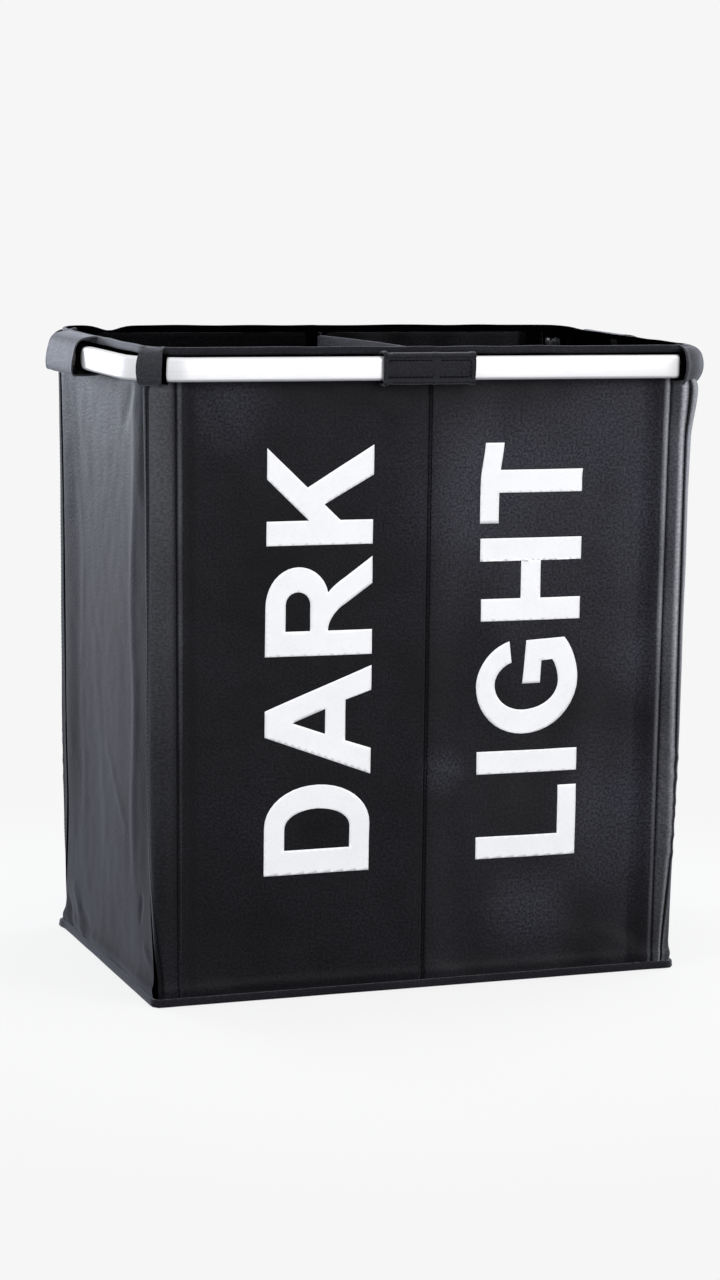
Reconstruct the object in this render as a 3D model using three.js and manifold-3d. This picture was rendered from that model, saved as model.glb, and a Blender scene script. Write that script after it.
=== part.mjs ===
import * as THREE from 'three';
import { mergeVertices } from 'three/addons/utils/BufferGeometryUtils.js';
import Module from 'manifold-3d';

// A folding laundry hamper with two bins: a sewn bag that stands on four corner rods, with two
// U-shaped tube handles that lie round the mouth and fold up at a hinge in the middle.
// Millimetres, Z up, X to the right, the front faces -Y. The origin is on the floor, mid-footprint.

// Sizes of the bag
const bagHeight = 600;
const baseWidth = 518;
const baseDepth = 328;
const mouthFlare = 9;
const mouthDrawIn = 8;
const baseCornerRadius = 8;
const mouthCornerRadius = 32;
const clothThickness = 2;
const baseClothThickness = 2;
const bindingHeight = 7;
const bindingThickness = 3;
const bindingProud = 1.5;
const hemHeight = 26;
const hemProud = 0.6;
const hemInward = 1.5;
const dividerThickness = 1.6;
const dividerHemThickness = 3.4;
const dividerHemHeight = 16;
const dividerDrop = 6;
const dividerSag = 9;

// Sizes of the tube frame
const barHeight = 22;
const barThickness = 9;
const barWall = 1.4;
const barEdgeRadius = 4;
const barTopDrop = 7;
const sideGripGap = 9;
const frontGap = 3;
const cornerEase = 13;

// Sizes of the hinges
const pinOffset = 18;
const pinRadius = 2;
const pinHeadRadius = 3.6;
const pinHeadThickness = 1;
const linkRadius = 9;
const linkWebHalf = 8;
const tongueThickness = 4;
const tongueRadius = 8.4;
const shoulderThickness = 2.5;
const plugLength = 24;

// Sizes of the cloth that holds the tubes
const loopWidth = 30;
const loopThickness = 1.4;
const wrapLength = 105;
const wrapStandOff = 7;
const sleeveLength = 92;
const sleeveStandOff = 1.6;

// Sizes of the corner rods, their channels and the boards
const rodRadius = 3.5;
const rodWall = 0.8;
const rodSideOffset = 9;
const rodTopDrop = 12;
const capRadius = 4.3;
const capHeight = 12;
const capFloor = 2.2;
const capRounding = 1.2;
const channelBore = 4.8;
const channelThickness = 1;
const boardThickness = 3;
const boardClearance = 0.7;
const channelClearance = 0.8;

// Clearances
const touchGap = 0.3;
const slideGap = 0.5;
const cutOverrun = 1;

// Shares and counts that set the fineness and the shape of curves
const flareCubicShare = 0.67;
const cornerPower = 1.5;
const wallLevels = 7;
const cornerSteps = 6;
const bendSteps = 7;
const roundSides = 16;
const edgeSteps = 3;
const sagSteps = 8;

// Places that follow from the sizes
const mouthWidth = baseWidth + 2 * mouthFlare;
const mouthDepth = baseDepth - 2 * mouthDrawIn;
const ringWidth = mouthWidth + 2 * (sideGripGap + barThickness);
const ringDepth = mouthDepth + 2 * (frontGap + barThickness);
const ringCornerRadius = mouthCornerRadius + barThickness + cornerEase;
const barTop = bagHeight - barTopDrop;
const barMiddle = barTop - barHeight / 2;
const barLineX = ringWidth / 2 - barThickness / 2;
const barLineY = ringDepth / 2 - barThickness / 2;
const barLineRadius = ringCornerRadius - barThickness / 2;
const plugShoulderX = pinOffset + linkRadius + touchGap;
const barEndX = plugShoulderX + shoulderThickness + touchGap;
const hemBottom = bagHeight - hemHeight;
const rodX = baseWidth / 2 - rodSideOffset;
const channelRadius = channelBore + channelThickness;

const cloth = new THREE.MeshStandardMaterial({ color: 0x1e1e24, roughness: 0.82, metalness: 0 });
const tape = new THREE.MeshStandardMaterial({ color: 0x26262c, roughness: 0.75, metalness: 0 });
const tube = new THREE.MeshStandardMaterial({ color: 0xd9dade, roughness: 0.38, metalness: 0.9 });
const plastic = new THREE.MeshStandardMaterial({ color: 0x17171a, roughness: 0.55, metalness: 0 });
const steel = new THREE.MeshStandardMaterial({ color: 0x9a9da3, roughness: 0.4, metalness: 0.95 });
const board = new THREE.MeshStandardMaterial({ color: 0x2b2a2c, roughness: 0.9, metalness: 0 });

const wasm = await Module();
wasm.setup();

const hamper = new THREE.Group();

function add(name, geometry, material, parent = hamper) {
  const mesh = new THREE.Mesh(geometry, material);
  mesh.name = name;
  parent.add(mesh);
  return mesh;
}

// Solids from point rings

function signedVolume(positions, indices) {
  const a = new THREE.Vector3();
  const b = new THREE.Vector3();
  const c = new THREE.Vector3();
  let sum = 0;
  for (let i = 0; i < indices.length; i += 3) {
    a.fromArray(positions, indices[i] * 3);
    b.fromArray(positions, indices[i + 1] * 3);
    c.fromArray(positions, indices[i + 2] * 3);
    sum += a.dot(b.cross(c));
  }
  return sum;
}

// The faces of a geometry always point out of the solid.
function facingOut(positions, indices) {
  if (signedVolume(positions, indices) < 0) {
    for (let i = 0; i < indices.length; i += 3) {
      [indices[i], indices[i + 1]] = [indices[i + 1], indices[i]];
    }
  }
  const geometry = new THREE.BufferGeometry();
  geometry.setAttribute('position', new THREE.Float32BufferAttribute(positions, 3));
  geometry.setIndex(indices);
  return geometry;
}

// Joins rings of points, each ring a closed loop of equal count. A section is one outer loop and
// any number of hole loops. Open ends are closed by flat caps, and a closed run has no caps.
function loft(sections, capOutline, capHoles = [], closed = false) {
  const loopCounts = [capOutline.length, ...capHoles.map((hole) => hole.length)];
  const turnsWell = [capOutline, ...capHoles].map((loop, i) => THREE.ShapeUtils.area(loop) > 0 === (i === 0));
  const perSection = loopCounts.reduce((sum, count) => sum + count, 0);
  const positions = sections.flatMap((section) => section.flatMap((p) => [p.x, p.y, p.z]));
  const indices = [];
  const spans = closed ? sections.length : sections.length - 1;
  for (let s = 0; s < spans; s += 1) {
    const here = s * perSection;
    const next = ((s + 1) % sections.length) * perSection;
    let start = 0;
    loopCounts.forEach((count, loop) => {
      for (let n = 0; n < count; n += 1) {
        const i = start + (turnsWell[loop] ? n : (n + 1) % count);
        const j = start + (turnsWell[loop] ? (n + 1) % count : n);
        indices.push(here + i, here + j, next + j);
        indices.push(here + i, next + j, next + i);
      }
      start += count;
    });
  }
  if (!closed) {
    const last = (sections.length - 1) * perSection;
    for (const [i, j, k] of THREE.ShapeUtils.triangulateShape(capOutline, capHoles)) {
      indices.push(k, j, i);
      indices.push(last + i, last + j, last + k);
    }
  }
  return facingOut(positions, indices);
}

function toManifold(geometry) {
  const bare = geometry.clone();
  bare.deleteAttribute('normal');
  bare.deleteAttribute('uv');
  const merged = mergeVertices(bare, 1e-4);
  const numbers = { numProp: 3, vertProperties: merged.attributes.position.array };
  return new wasm.Manifold(new wasm.Mesh({ ...numbers, triVerts: new Uint32Array(merged.index.array) }));
}

function toGeometry(solid) {
  const mesh = solid.getMesh();
  const geometry = new THREE.BufferGeometry();
  geometry.setAttribute('position', new THREE.BufferAttribute(mesh.vertProperties, 3));
  geometry.setIndex(new THREE.BufferAttribute(mesh.triVerts, 1));
  return geometry;
}

function box(width, depth, height, x, y, z) {
  return toManifold(new THREE.BoxGeometry(width, depth, height).translate(x, y, z));
}

// A round bar along Y
function cylinderY(radius, length, x, z) {
  return toManifold(new THREE.CylinderGeometry(radius, radius, length, roundSides).translate(x, 0, z));
}

// The bag's outline at a height: a rounded rectangle whose corners open towards the mouth

function bagSection(z) {
  const t = z / bagHeight;
  const flare = (1 - flareCubicShare) * t + flareCubicShare * t ** 3;
  const corner = Math.max(t, 0) ** cornerPower;
  return {
    halfWidth: THREE.MathUtils.lerp(baseWidth, mouthWidth, flare) / 2,
    halfDepth: THREE.MathUtils.lerp(baseDepth, mouthDepth, t) / 2,
    radius: THREE.MathUtils.lerp(baseCornerRadius, mouthCornerRadius, corner),
  };
}

// Points of the right front quarter, from the centre seam to the side's middle, moved inwards by
// inset. The corner seam lies halfway round the corner.
function cornerArc(z, inset, fromShare, toShare) {
  const { halfWidth, halfDepth, radius } = bagSection(z);
  const points = [];
  for (let i = 0; i <= cornerSteps; i += 1) {
    const share = THREE.MathUtils.lerp(fromShare, toShare, i / cornerSteps);
    const angle = (share - 1) * Math.PI / 2;
    const x = halfWidth - radius + (radius - inset) * Math.cos(angle);
    const y = -(halfDepth - radius) + (radius - inset) * Math.sin(angle);
    points.push(new THREE.Vector3(x, y, z));
  }
  return points;
}

// Moves the last point back along the cloth, so that two cloths leave a gap at their seam.
function backFromSeam(points, end) {
  const last = points[end];
  const before = points[end === 0 ? 1 : end - 1];
  const back = before.clone().sub(last).setLength(touchGap / 2);
  last.add(back);
  return points;
}

function frontLine(z, inset) {
  const { halfDepth } = bagSection(z);
  const start = new THREE.Vector3(touchGap / 2, inset - halfDepth, z);
  return backFromSeam([start, ...cornerArc(z, inset, 0, 0.5)], cornerSteps + 1);
}

function sideLine(z, inset) {
  const front = backFromSeam(cornerArc(z, inset, 0.5, 1), 0);
  const rear = front.map((p) => new THREE.Vector3(p.x, -p.y, p.z)).reverse();
  return [...front, ...rear];
}

function wallHeights() {
  const low = bindingHeight + touchGap;
  const high = hemBottom - touchGap;
  return Array.from({ length: wallLevels }, (_, i) => THREE.MathUtils.lerp(low, high, i / (wallLevels - 1)));
}

function clothWall(line, mirrorX, mirrorY) {
  const sections = wallHeights().map((z) => {
    const loop = [...line(z, 0), ...line(z, clothThickness).reverse()];
    return loop.map((p) => new THREE.Vector3(p.x * mirrorX, p.y * mirrorY, p.z));
  });
  return loft(sections, sections[0].map((p) => new THREE.Vector2(p.x, p.y)));
}

// A closed run round the bag at a height, moved inwards by inset
function bagRing(z, inset) {
  const arc = cornerArc(z, inset, 0, 1);
  const turned = (sx, sy) => arc.map((p) => new THREE.Vector3(p.x * sx, p.y * sy, p.z));
  return [...turned(1, 1), ...turned(1, -1).reverse(), ...turned(-1, -1), ...turned(-1, 1).reverse()];
}

// A band round the bag, drawn as a profile of (inset, height) points
function bagBand(profile, sectionHeight) {
  const rings = profile.map(([inset, z]) => bagRing(sectionHeight, inset).map((p) => p.setZ(z)));
  const stations = rings[0].map((_, i) => rings.map((ring) => ring[i]));
  const outline = profile.map(([inset, z]) => new THREE.Vector2(inset, z));
  return loft(stations, outline, [], true);
}

function buildBag() {
  const baseRing = bagRing(0, bindingThickness - bindingProud + touchGap);
  const baseLift = (z) => baseRing.map((p) => new THREE.Vector3(p.x, p.y, z));
  const baseOutline = baseRing.map((p) => new THREE.Vector2(p.x, p.y));
  add('base_cloth', loft([baseLift(0), baseLift(baseClothThickness)], baseOutline), cloth);

  const bindingInner = bindingThickness - bindingProud;
  const bindingRound = bindingThickness / 3;
  add('base_binding', bagBand([
    [bindingInner, 0],
    [-bindingProud + bindingRound, 0],
    [-bindingProud, bindingRound],
    [-bindingProud, bindingHeight - bindingRound],
    [-bindingProud + bindingRound, bindingHeight],
    [bindingInner, bindingHeight],
  ], 0), tape);

  add('front_cloth_right', clothWall(frontLine, 1, 1), cloth);
  add('front_cloth_left', clothWall(frontLine, -1, 1), cloth);
  add('rear_cloth_right', clothWall(frontLine, 1, -1), cloth);
  add('rear_cloth_left', clothWall(frontLine, -1, -1), cloth);
  add('side_cloth_right', clothWall(sideLine, 1, 1), cloth);
  add('side_cloth_left', clothWall(sideLine, -1, 1), cloth);

  const hemInner = clothThickness + hemInward;
  const hemRound = hemProud + hemInward / 2;
  add('rim_hem', bagBand([
    [hemInner, hemBottom],
    [-hemProud, hemBottom],
    [-hemProud, bagHeight - hemRound],
    [-hemProud + hemRound, bagHeight],
    [hemInner - hemRound, bagHeight],
    [hemInner, bagHeight - hemRound],
  ], bagHeight), tape);
}

// The divider hangs between the two middles, a little lower in its middle than at its ends.

function dividerTop(share) {
  return bagHeight - dividerDrop - dividerSag * Math.sin(share * Math.PI);
}

function buildDivider() {
  const bottom = baseClothThickness + touchGap;
  const hemReach = mouthDepth / 2 - clothThickness - hemInward - touchGap;
  const reach = (z) => bagSection(z).halfDepth - clothThickness - touchGap;
  const innerReach = (z) => Math.min(reach(z), hemReach);
  const outline = [
    new THREE.Vector2(reach(bindingHeight), bottom),
    new THREE.Vector2(reach(hemBottom), hemBottom - touchGap),
    new THREE.Vector2(hemReach, hemBottom - touchGap),
  ];
  const hemLine = [];
  for (let i = 0; i <= sagSteps; i += 1) {
    const share = i / sagSteps;
    const z = dividerTop(share);
    hemLine.push(new THREE.Vector2(THREE.MathUtils.lerp(innerReach(z), -innerReach(z), share), z));
  }
  const under = dividerHemHeight + touchGap;
  outline.push(...hemLine.map((p) => new THREE.Vector2(p.x, p.y - under)));
  outline.push(new THREE.Vector2(-hemReach, hemBottom - touchGap));
  outline.push(new THREE.Vector2(-reach(hemBottom), hemBottom - touchGap));
  outline.push(new THREE.Vector2(-reach(bindingHeight), bottom));
  const sheet = (x) => outline.map((p) => new THREE.Vector3(x, p.x, p.y));
  add('divider_cloth', loft([sheet(-dividerThickness / 2), sheet(dividerThickness / 2)], outline), cloth);

  const half = dividerHemThickness / 2;
  const bevel = half / 2;
  const profile = [
    [-half, -dividerHemHeight],
    [half, -dividerHemHeight],
    [half, -bevel],
    [bevel, 0],
    [-bevel, 0],
    [-half, -bevel],
  ];
  const sections = hemLine.map((p) => profile.map(([x, z]) => new THREE.Vector3(x, p.x, p.y + z)));
  add('divider_hem', loft(sections, profile.map(([x, z]) => new THREE.Vector2(x, z))), tape);
}

// The tubes' centre line, by its length from the front middle round the side to the rear middle

const straightFront = barLineX - barLineRadius;
const bendLength = barLineRadius * Math.PI / 2;
const straightSide = 2 * (barLineY - barLineRadius);
const sideMiddle = straightFront + bendLength + straightSide / 2;
const frontBend = straightFront + bendLength / 2;
const rearBend = 2 * sideMiddle - frontBend;

function tubeFrame(length) {
  const mirrored = length > sideMiddle;
  const s = mirrored ? 2 * sideMiddle - length : length;
  let x = s;
  let y = -barLineY;
  let angle = -Math.PI / 2;
  if (s > straightFront + bendLength) {
    x = barLineX;
    y = -(barLineY - barLineRadius) + s - straightFront - bendLength;
    angle = 0;
  } else if (s > straightFront) {
    angle = -Math.PI / 2 + (s - straightFront) / barLineRadius;
    x = straightFront + barLineRadius * Math.cos(angle);
    y = -(barLineY - barLineRadius) + barLineRadius * Math.sin(angle);
  }
  const turn = mirrored ? -1 : 1;
  return { x, y: y * turn, outX: Math.cos(angle), outY: Math.sin(angle) * turn };
}

// Lengths between two places on the line, with stations at the ends of each bend and along it
function stations(from, to) {
  const bends = [straightFront, 2 * sideMiddle - straightFront - bendLength];
  const marks = bends.flatMap((start) => (
    Array.from({ length: bendSteps + 1 }, (_, i) => start + bendLength * i / bendSteps)
  ));
  return [from, ...marks.filter((mark) => mark > from + touchGap && mark < to - touchGap), to];
}

// A profile of (outward, height) points carried along the tubes' line
function alongTube(outline, holes, from, to, side) {
  const loops = [outline, ...holes].flat();
  const sections = stations(from, to).map((length) => {
    const f = tubeFrame(length);
    return loops.map((p) => new THREE.Vector3(side * (f.x + f.outX * p.x), f.y + f.outY * p.x, barMiddle + p.y));
  });
  return loft(sections, outline, holes);
}

function roundedOutline(width, height, radius) {
  const points = [];
  const corners = [[1, 1, 0], [-1, 1, 1], [-1, -1, 2], [1, -1, 3]];
  for (const [sx, sy, quarter] of corners) {
    for (let i = 0; i <= edgeSteps; i += 1) {
      const angle = (quarter + i / edgeSteps) * Math.PI / 2;
      const x = sx * (width / 2 - radius) + radius * Math.cos(angle);
      const y = sy * (height / 2 - radius) + radius * Math.sin(angle);
      points.push(new THREE.Vector2(x, y));
    }
  }
  return points;
}

// A strip of cloth that goes over the tube, down its outer face and under it, open to the bag
function strapOutline(gap, standOff, reachIn) {
  const round = barEdgeRadius;
  const inner = [];
  const outer = [];
  const put = (list, x, y) => list.push(new THREE.Vector2(x, y));
  const out = barThickness / 2 + standOff;
  const high = barHeight / 2 + gap;
  put(inner, -reachIn, high);
  put(outer, -reachIn, high + loopThickness);
  for (const [sy, startAngle] of [[1, Math.PI / 2], [-1, 0]]) {
    for (let i = 0; i <= edgeSteps; i += 1) {
      const angle = startAngle - i / edgeSteps * Math.PI / 2;
      const cx = out - round;
      const cy = sy * (high - round);
      put(inner, cx + round * Math.cos(angle), cy + round * Math.sin(angle));
      const full = round + loopThickness;
      put(outer, cx + full * Math.cos(angle), cy + full * Math.sin(angle));
    }
  }
  put(inner, -reachIn, -high);
  put(outer, -reachIn, -high - loopThickness);
  return [...outer, ...inner.reverse()];
}

// How far the straps reach in from the tube's line to the hem, at the front, side and corner

const hemFaceX = mouthWidth / 2 + hemProud;
const hemFaceY = mouthDepth / 2 + hemProud;
const frontReach = barLineY - hemFaceY - slideGap;
const sideReach = barLineX - hemFaceX - slideGap;
const bendCentre = new THREE.Vector2(barLineX - barLineRadius, barLineY - barLineRadius);
const hemCentre = new THREE.Vector2(mouthWidth / 2, mouthDepth / 2).subScalar(mouthCornerRadius);
const hemReachFromBend = hemCentre.distanceTo(bendCentre) + mouthCornerRadius + hemProud;
const cornerReach = barLineRadius - hemReachFromBend - slideGap;

function buildHandle(side, name) {
  const outer = roundedOutline(barThickness, barHeight, barEdgeRadius);
  const inner = roundedOutline(barThickness - 2 * barWall, barHeight - 2 * barWall, barEdgeRadius - barWall);
  const end = 2 * sideMiddle - barEndX;
  add(`${name}_handle_tube`, alongTube(outer, [inner], barEndX, end, side), tube);

  const loopGap = touchGap * 2;
  const corner = strapOutline(loopGap, loopGap, cornerReach);
  for (const [place, middle] of [['front', frontBend], ['rear', rearBend]]) {
    const loop = alongTube(corner, [], middle - loopWidth / 2, middle + loopWidth / 2, side);
    add(`${name}_${place}_corner_loop`, loop, tape);
  }
  const wrap = strapOutline(loopGap, wrapStandOff, sideReach);
  add(`${name}_side_wrap`, alongTube(wrap, [], sideMiddle, sideMiddle + wrapLength, side), tape);
}

function buildSleeves() {
  const outline = strapOutline(sleeveStandOff, sleeveStandOff, frontReach);
  for (const [place, turn] of [['front', 1], ['rear', -1]]) {
    const sections = [-1, 1].map((side) => outline.map((p) => (
      new THREE.Vector3(side * sleeveLength / 2, -turn * (barLineY + p.x), barMiddle + p.y)
    )));
    add(`${place}_centre_sleeve`, loft(sections, outline), tape);
  }
}

// The hinge: a link with two slots, a plug with a tongue in each tube end, and two rivets

function buildLink() {
  let link = box(2 * pinOffset, barThickness, 2 * linkRadius, 0, 0, 0);
  for (const side of [-1, 1]) {
    link = link.add(cylinderY(linkRadius, barThickness, side * pinOffset, 0));
  }
  const slotLength = pinOffset + linkRadius - linkWebHalf + cutOverrun;
  const slotHeight = 2 * (linkRadius + cutOverrun);
  for (const side of [-1, 1]) {
    const x = side * (linkWebHalf + slotLength / 2);
    link = link.subtract(box(slotLength, tongueThickness + 2 * touchGap, slotHeight, x, 0, 0));
    link = link.subtract(cylinderY(pinRadius + touchGap / 2, barThickness + cutOverrun, side * pinOffset, 0));
  }
  return toGeometry(link);
}

function buildPlug() {
  const shoulder = roundedOutline(barThickness, barHeight, barEdgeRadius);
  const shankCut = 2 * (barWall + touchGap);
  const shank = roundedOutline(barThickness - shankCut, barHeight - shankCut, barEdgeRadius - barWall - touchGap);
  const prism = (outline, from, to) => {
    const at = (x) => outline.map((p) => new THREE.Vector3(x, p.x, p.y));
    return toManifold(loft([at(from), at(to)], outline));
  };
  const shoulderEnd = plugShoulderX + shoulderThickness;
  const tongueReach = plugShoulderX + shoulderThickness / 2 - pinOffset;
  let plug = prism(shoulder, plugShoulderX, shoulderEnd);
  plug = plug.add(prism(shank, shoulderEnd - shoulderThickness / 2, barEndX + plugLength));
  plug = plug.add(cylinderY(tongueRadius, tongueThickness, pinOffset, 0));
  plug = plug.add(box(tongueReach, tongueThickness, 2 * tongueRadius, pinOffset + tongueReach / 2, 0, 0));
  plug = plug.subtract(cylinderY(pinRadius + touchGap / 2, tongueThickness + cutOverrun, pinOffset, 0));
  return toGeometry(plug);
}

function buildPin() {
  const seat = barThickness / 2 + touchGap;
  const end = seat + pinHeadThickness;
  const profile = [
    [0, -end],
    [pinHeadRadius, -end],
    [pinHeadRadius, -seat],
    [pinRadius, -seat],
    [pinRadius, seat],
    [pinHeadRadius, seat],
    [pinHeadRadius, end],
    [0, end],
  ];
  return new THREE.LatheGeometry(profile.map(([r, y]) => new THREE.Vector2(r, y)), roundSides);
}

function buildHinges() {
  const link = buildLink();
  const plug = buildPlug();
  const pin = buildPin();
  for (const [place, y] of [['front', -barLineY], ['rear', barLineY]]) {
    const hinge = new THREE.Group();
    hinge.position.set(0, y, barMiddle);
    hamper.add(hinge);
    add(`${place}_hinge_link`, link, plastic, hinge);
    for (const [name, side] of [['left', -1], ['right', 1]]) {
      const mesh = add(`${name}_${place}_hinge_plug`, plug, plastic, hinge);
      mesh.rotation.z = side < 0 ? Math.PI : 0;
      add(`${name}_${place}_hinge_pin`, pin, steel, hinge).position.x = side * pinOffset;
    }
  }
}

// The corner rods lean with the bag: upright seen from the front, drawn in a little at the top.

function rodDepthAt(z, share) {
  const { halfWidth, halfDepth, radius } = bagSection(z);
  const inset = clothThickness + channelClearance + channelRadius;
  const reach = radius - inset;
  const sideways = rodX - (halfWidth - radius);
  const straight = halfDepth - inset;
  const round = halfDepth - radius + Math.sqrt(Math.max(reach ** 2 - sideways ** 2, 0));
  return THREE.MathUtils.lerp(straight, round, share);
}

const rodFoot = baseClothThickness + touchGap;
const rodTop = bagHeight - rodTopDrop;
const rodFootY = rodDepthAt(rodFoot, 0);
const rodTopY = rodDepthAt(bagHeight, 1);
const rodLean = Math.atan2(rodFootY - rodTopY, rodTop - rodFoot);
const rodLength = (rodTop - rodFoot) / Math.cos(rodLean);

function ringTube(outer, inner, length) {
  const profile = [[inner, 0], [outer, 0], [outer, length], [inner, length], [inner, 0]];
  const geometry = new THREE.LatheGeometry(profile.map(([r, y]) => new THREE.Vector2(r, y)), roundSides);
  return geometry.rotateX(Math.PI / 2);
}

// A cup whose closed end is at zero and whose mouth faces up
function capSolid() {
  const bore = rodRadius + touchGap;
  const profile = [
    [0, 0],
    [capRadius - capRounding, 0],
    [capRadius, capRounding],
    [capRadius, capHeight],
    [bore, capHeight],
    [bore, capFloor],
    [0, capFloor],
  ];
  const geometry = new THREE.LatheGeometry(profile.map(([r, y]) => new THREE.Vector2(r, y)), roundSides);
  return geometry.rotateX(Math.PI / 2);
}

function buildRods() {
  const seat = capFloor + touchGap;
  const rod = ringTube(rodRadius, rodRadius - rodWall, rodLength - 2 * seat);
  const footCap = capSolid();
  const topCap = capSolid().rotateX(Math.PI);
  const lift = capRadius * Math.sin(rodLean);
  const channelLength = (hemBottom - touchGap - rodFoot) / Math.cos(rodLean) - 2 * channelRadius * Math.sin(rodLean);
  const channel = ringTube(channelRadius, channelBore, channelLength);
  for (const [depthName, sy] of [['front', -1], ['rear', 1]]) {
    for (const [widthName, sx] of [['left', -1], ['right', 1]]) {
      const corner = new THREE.Group();
      corner.position.set(sx * rodX, sy * rodFootY, rodFoot + lift);
      corner.rotation.x = sy * rodLean;
      hamper.add(corner);
      const name = `${depthName}_${widthName}`;
      add(`${name}_rod_channel`, channel, cloth, corner).position.z = channelRadius * Math.sin(rodLean);
      add(`${name}_support_rod`, rod, steel, corner).position.z = seat;
      add(`${name}_rod_foot_cap`, footCap, plastic, corner);
      add(`${name}_rod_top_cap`, topCap, plastic, corner).position.z = rodLength;
    }
  }
}

// One loose board in each bin, small enough to lift out through the mouth

function buildBoards() {
  const halfDepth = mouthDepth / 2 - clothThickness - hemInward - boardClearance;
  const inner = dividerHemThickness / 2 + boardClearance;
  const outer = baseWidth / 2 - clothThickness - boardClearance;
  const cutX = outer - (rodX - channelRadius - boardClearance);
  const cutY = halfDepth - (rodTopY - channelRadius - boardClearance);
  const cut = cutX + cutY;
  const outline = [
    new THREE.Vector2(inner, -halfDepth),
    new THREE.Vector2(outer - cut, -halfDepth),
    new THREE.Vector2(outer, -halfDepth + cut),
    new THREE.Vector2(outer, halfDepth - cut),
    new THREE.Vector2(outer - cut, halfDepth),
    new THREE.Vector2(inner, halfDepth),
  ];
  const low = baseClothThickness + touchGap;
  for (const [name, side] of [['left', -1], ['right', 1]]) {
    const sheet = (z) => outline.map((p) => new THREE.Vector3(side * p.x, p.y, z));
    add(`${name}_base_board`, loft([sheet(low), sheet(low + boardThickness)], outline), board);
  }
}

buildBag();
buildDivider();
buildHandle(-1, 'left');
buildHandle(1, 'right');
buildSleeves();
buildHinges();
buildRods();
buildBoards();

export default hamper;
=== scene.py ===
import math

import bmesh
import bpy
from bpy.props import FloatProperty, FloatVectorProperty, PointerProperty
from mathutils import Matrix, Vector, noise


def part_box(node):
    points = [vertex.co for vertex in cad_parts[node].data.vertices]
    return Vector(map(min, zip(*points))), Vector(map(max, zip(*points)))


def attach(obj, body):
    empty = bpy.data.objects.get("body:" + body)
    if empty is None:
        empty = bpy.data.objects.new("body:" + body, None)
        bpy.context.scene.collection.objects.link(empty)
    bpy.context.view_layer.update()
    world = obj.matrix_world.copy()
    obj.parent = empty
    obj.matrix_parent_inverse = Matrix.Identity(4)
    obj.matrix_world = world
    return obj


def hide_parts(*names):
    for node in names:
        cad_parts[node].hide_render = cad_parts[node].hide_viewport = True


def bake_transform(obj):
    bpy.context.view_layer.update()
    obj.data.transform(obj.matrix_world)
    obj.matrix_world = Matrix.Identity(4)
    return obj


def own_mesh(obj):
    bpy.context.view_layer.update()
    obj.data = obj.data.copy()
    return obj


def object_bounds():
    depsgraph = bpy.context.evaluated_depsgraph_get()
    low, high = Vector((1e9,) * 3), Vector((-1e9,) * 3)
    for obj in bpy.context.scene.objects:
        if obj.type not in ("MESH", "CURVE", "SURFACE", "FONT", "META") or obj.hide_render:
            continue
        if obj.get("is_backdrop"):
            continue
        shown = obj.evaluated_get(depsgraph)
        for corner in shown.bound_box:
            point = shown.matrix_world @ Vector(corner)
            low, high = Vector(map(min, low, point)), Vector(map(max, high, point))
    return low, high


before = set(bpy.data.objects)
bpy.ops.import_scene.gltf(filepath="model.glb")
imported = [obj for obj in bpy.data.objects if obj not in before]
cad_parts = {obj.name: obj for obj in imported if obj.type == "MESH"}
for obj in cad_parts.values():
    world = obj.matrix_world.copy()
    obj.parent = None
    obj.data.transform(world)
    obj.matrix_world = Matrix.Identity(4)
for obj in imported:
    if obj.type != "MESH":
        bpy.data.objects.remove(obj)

# The looks of a folding laundry hamper with two bins: its sewn bag, hem, straps, tubes, words,
# stitches and the stage it stands on. Metres, Z up, X to the right, the front faces -Y.
# "along" is a distance round the bag, measured from the middle of a side towards the front or
# rear middle. "side" is 1 on the right and -1 on the left, "end" is -1 in front and 1 behind.

bl_info = {
    "name": "Two-bin laundry hamper",
    "version": (1, 0, 0),
    "blender": (4, 5, 0),
    "location": "View3D > Sidebar > Hamper",
    "description": "Cloth, tubes, words, stitches and stage of a laundry hamper with two bins",
    "category": "Add Mesh",
}

MM = 0.001
CAD_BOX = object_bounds()
BINDING_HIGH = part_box("base_binding")[1]
RIM_LOW, RIM_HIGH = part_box("rim_hem")
TUBE_LOW, TUBE_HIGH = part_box("right_handle_tube")

BINDING_PROUD = 1.5 * MM
HEM_PROUD = 0.6 * MM
HALF_WIDTH = BINDING_HIGH.x - BINDING_PROUD
HALF_DEPTH = BINDING_HIGH.y - BINDING_PROUD
SIDES = {"left": -1, "right": 1}
ENDS = {"front": -1, "rear": 1}


# Sizes and colours that a user would change

def length(name, default, description):
    """A size in metres."""
    return FloatProperty(
        name=name, description=description, default=default, min=0.0, precision=4,
        unit="LENGTH", subtype="DISTANCE",
    )


def colour(name, hex_code, description):
    """A colour, given as it is written in a paint program."""
    return FloatVectorProperty(
        name=name, description=description, default=linear(hex_code), size=3, min=0.0, max=1.0,
        subtype="COLOR",
    )


def linear(hex_code):
    """A colour written as in a paint program, as the three numbers a shader reads."""
    shares = [int(hex_code[i:i + 2], 16) / 255 for i in (1, 3, 5)]
    return tuple(s / 12.92 if s <= 0.04045 else ((s + 0.055) / 1.055) ** 2.4 for s in shares)


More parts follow.
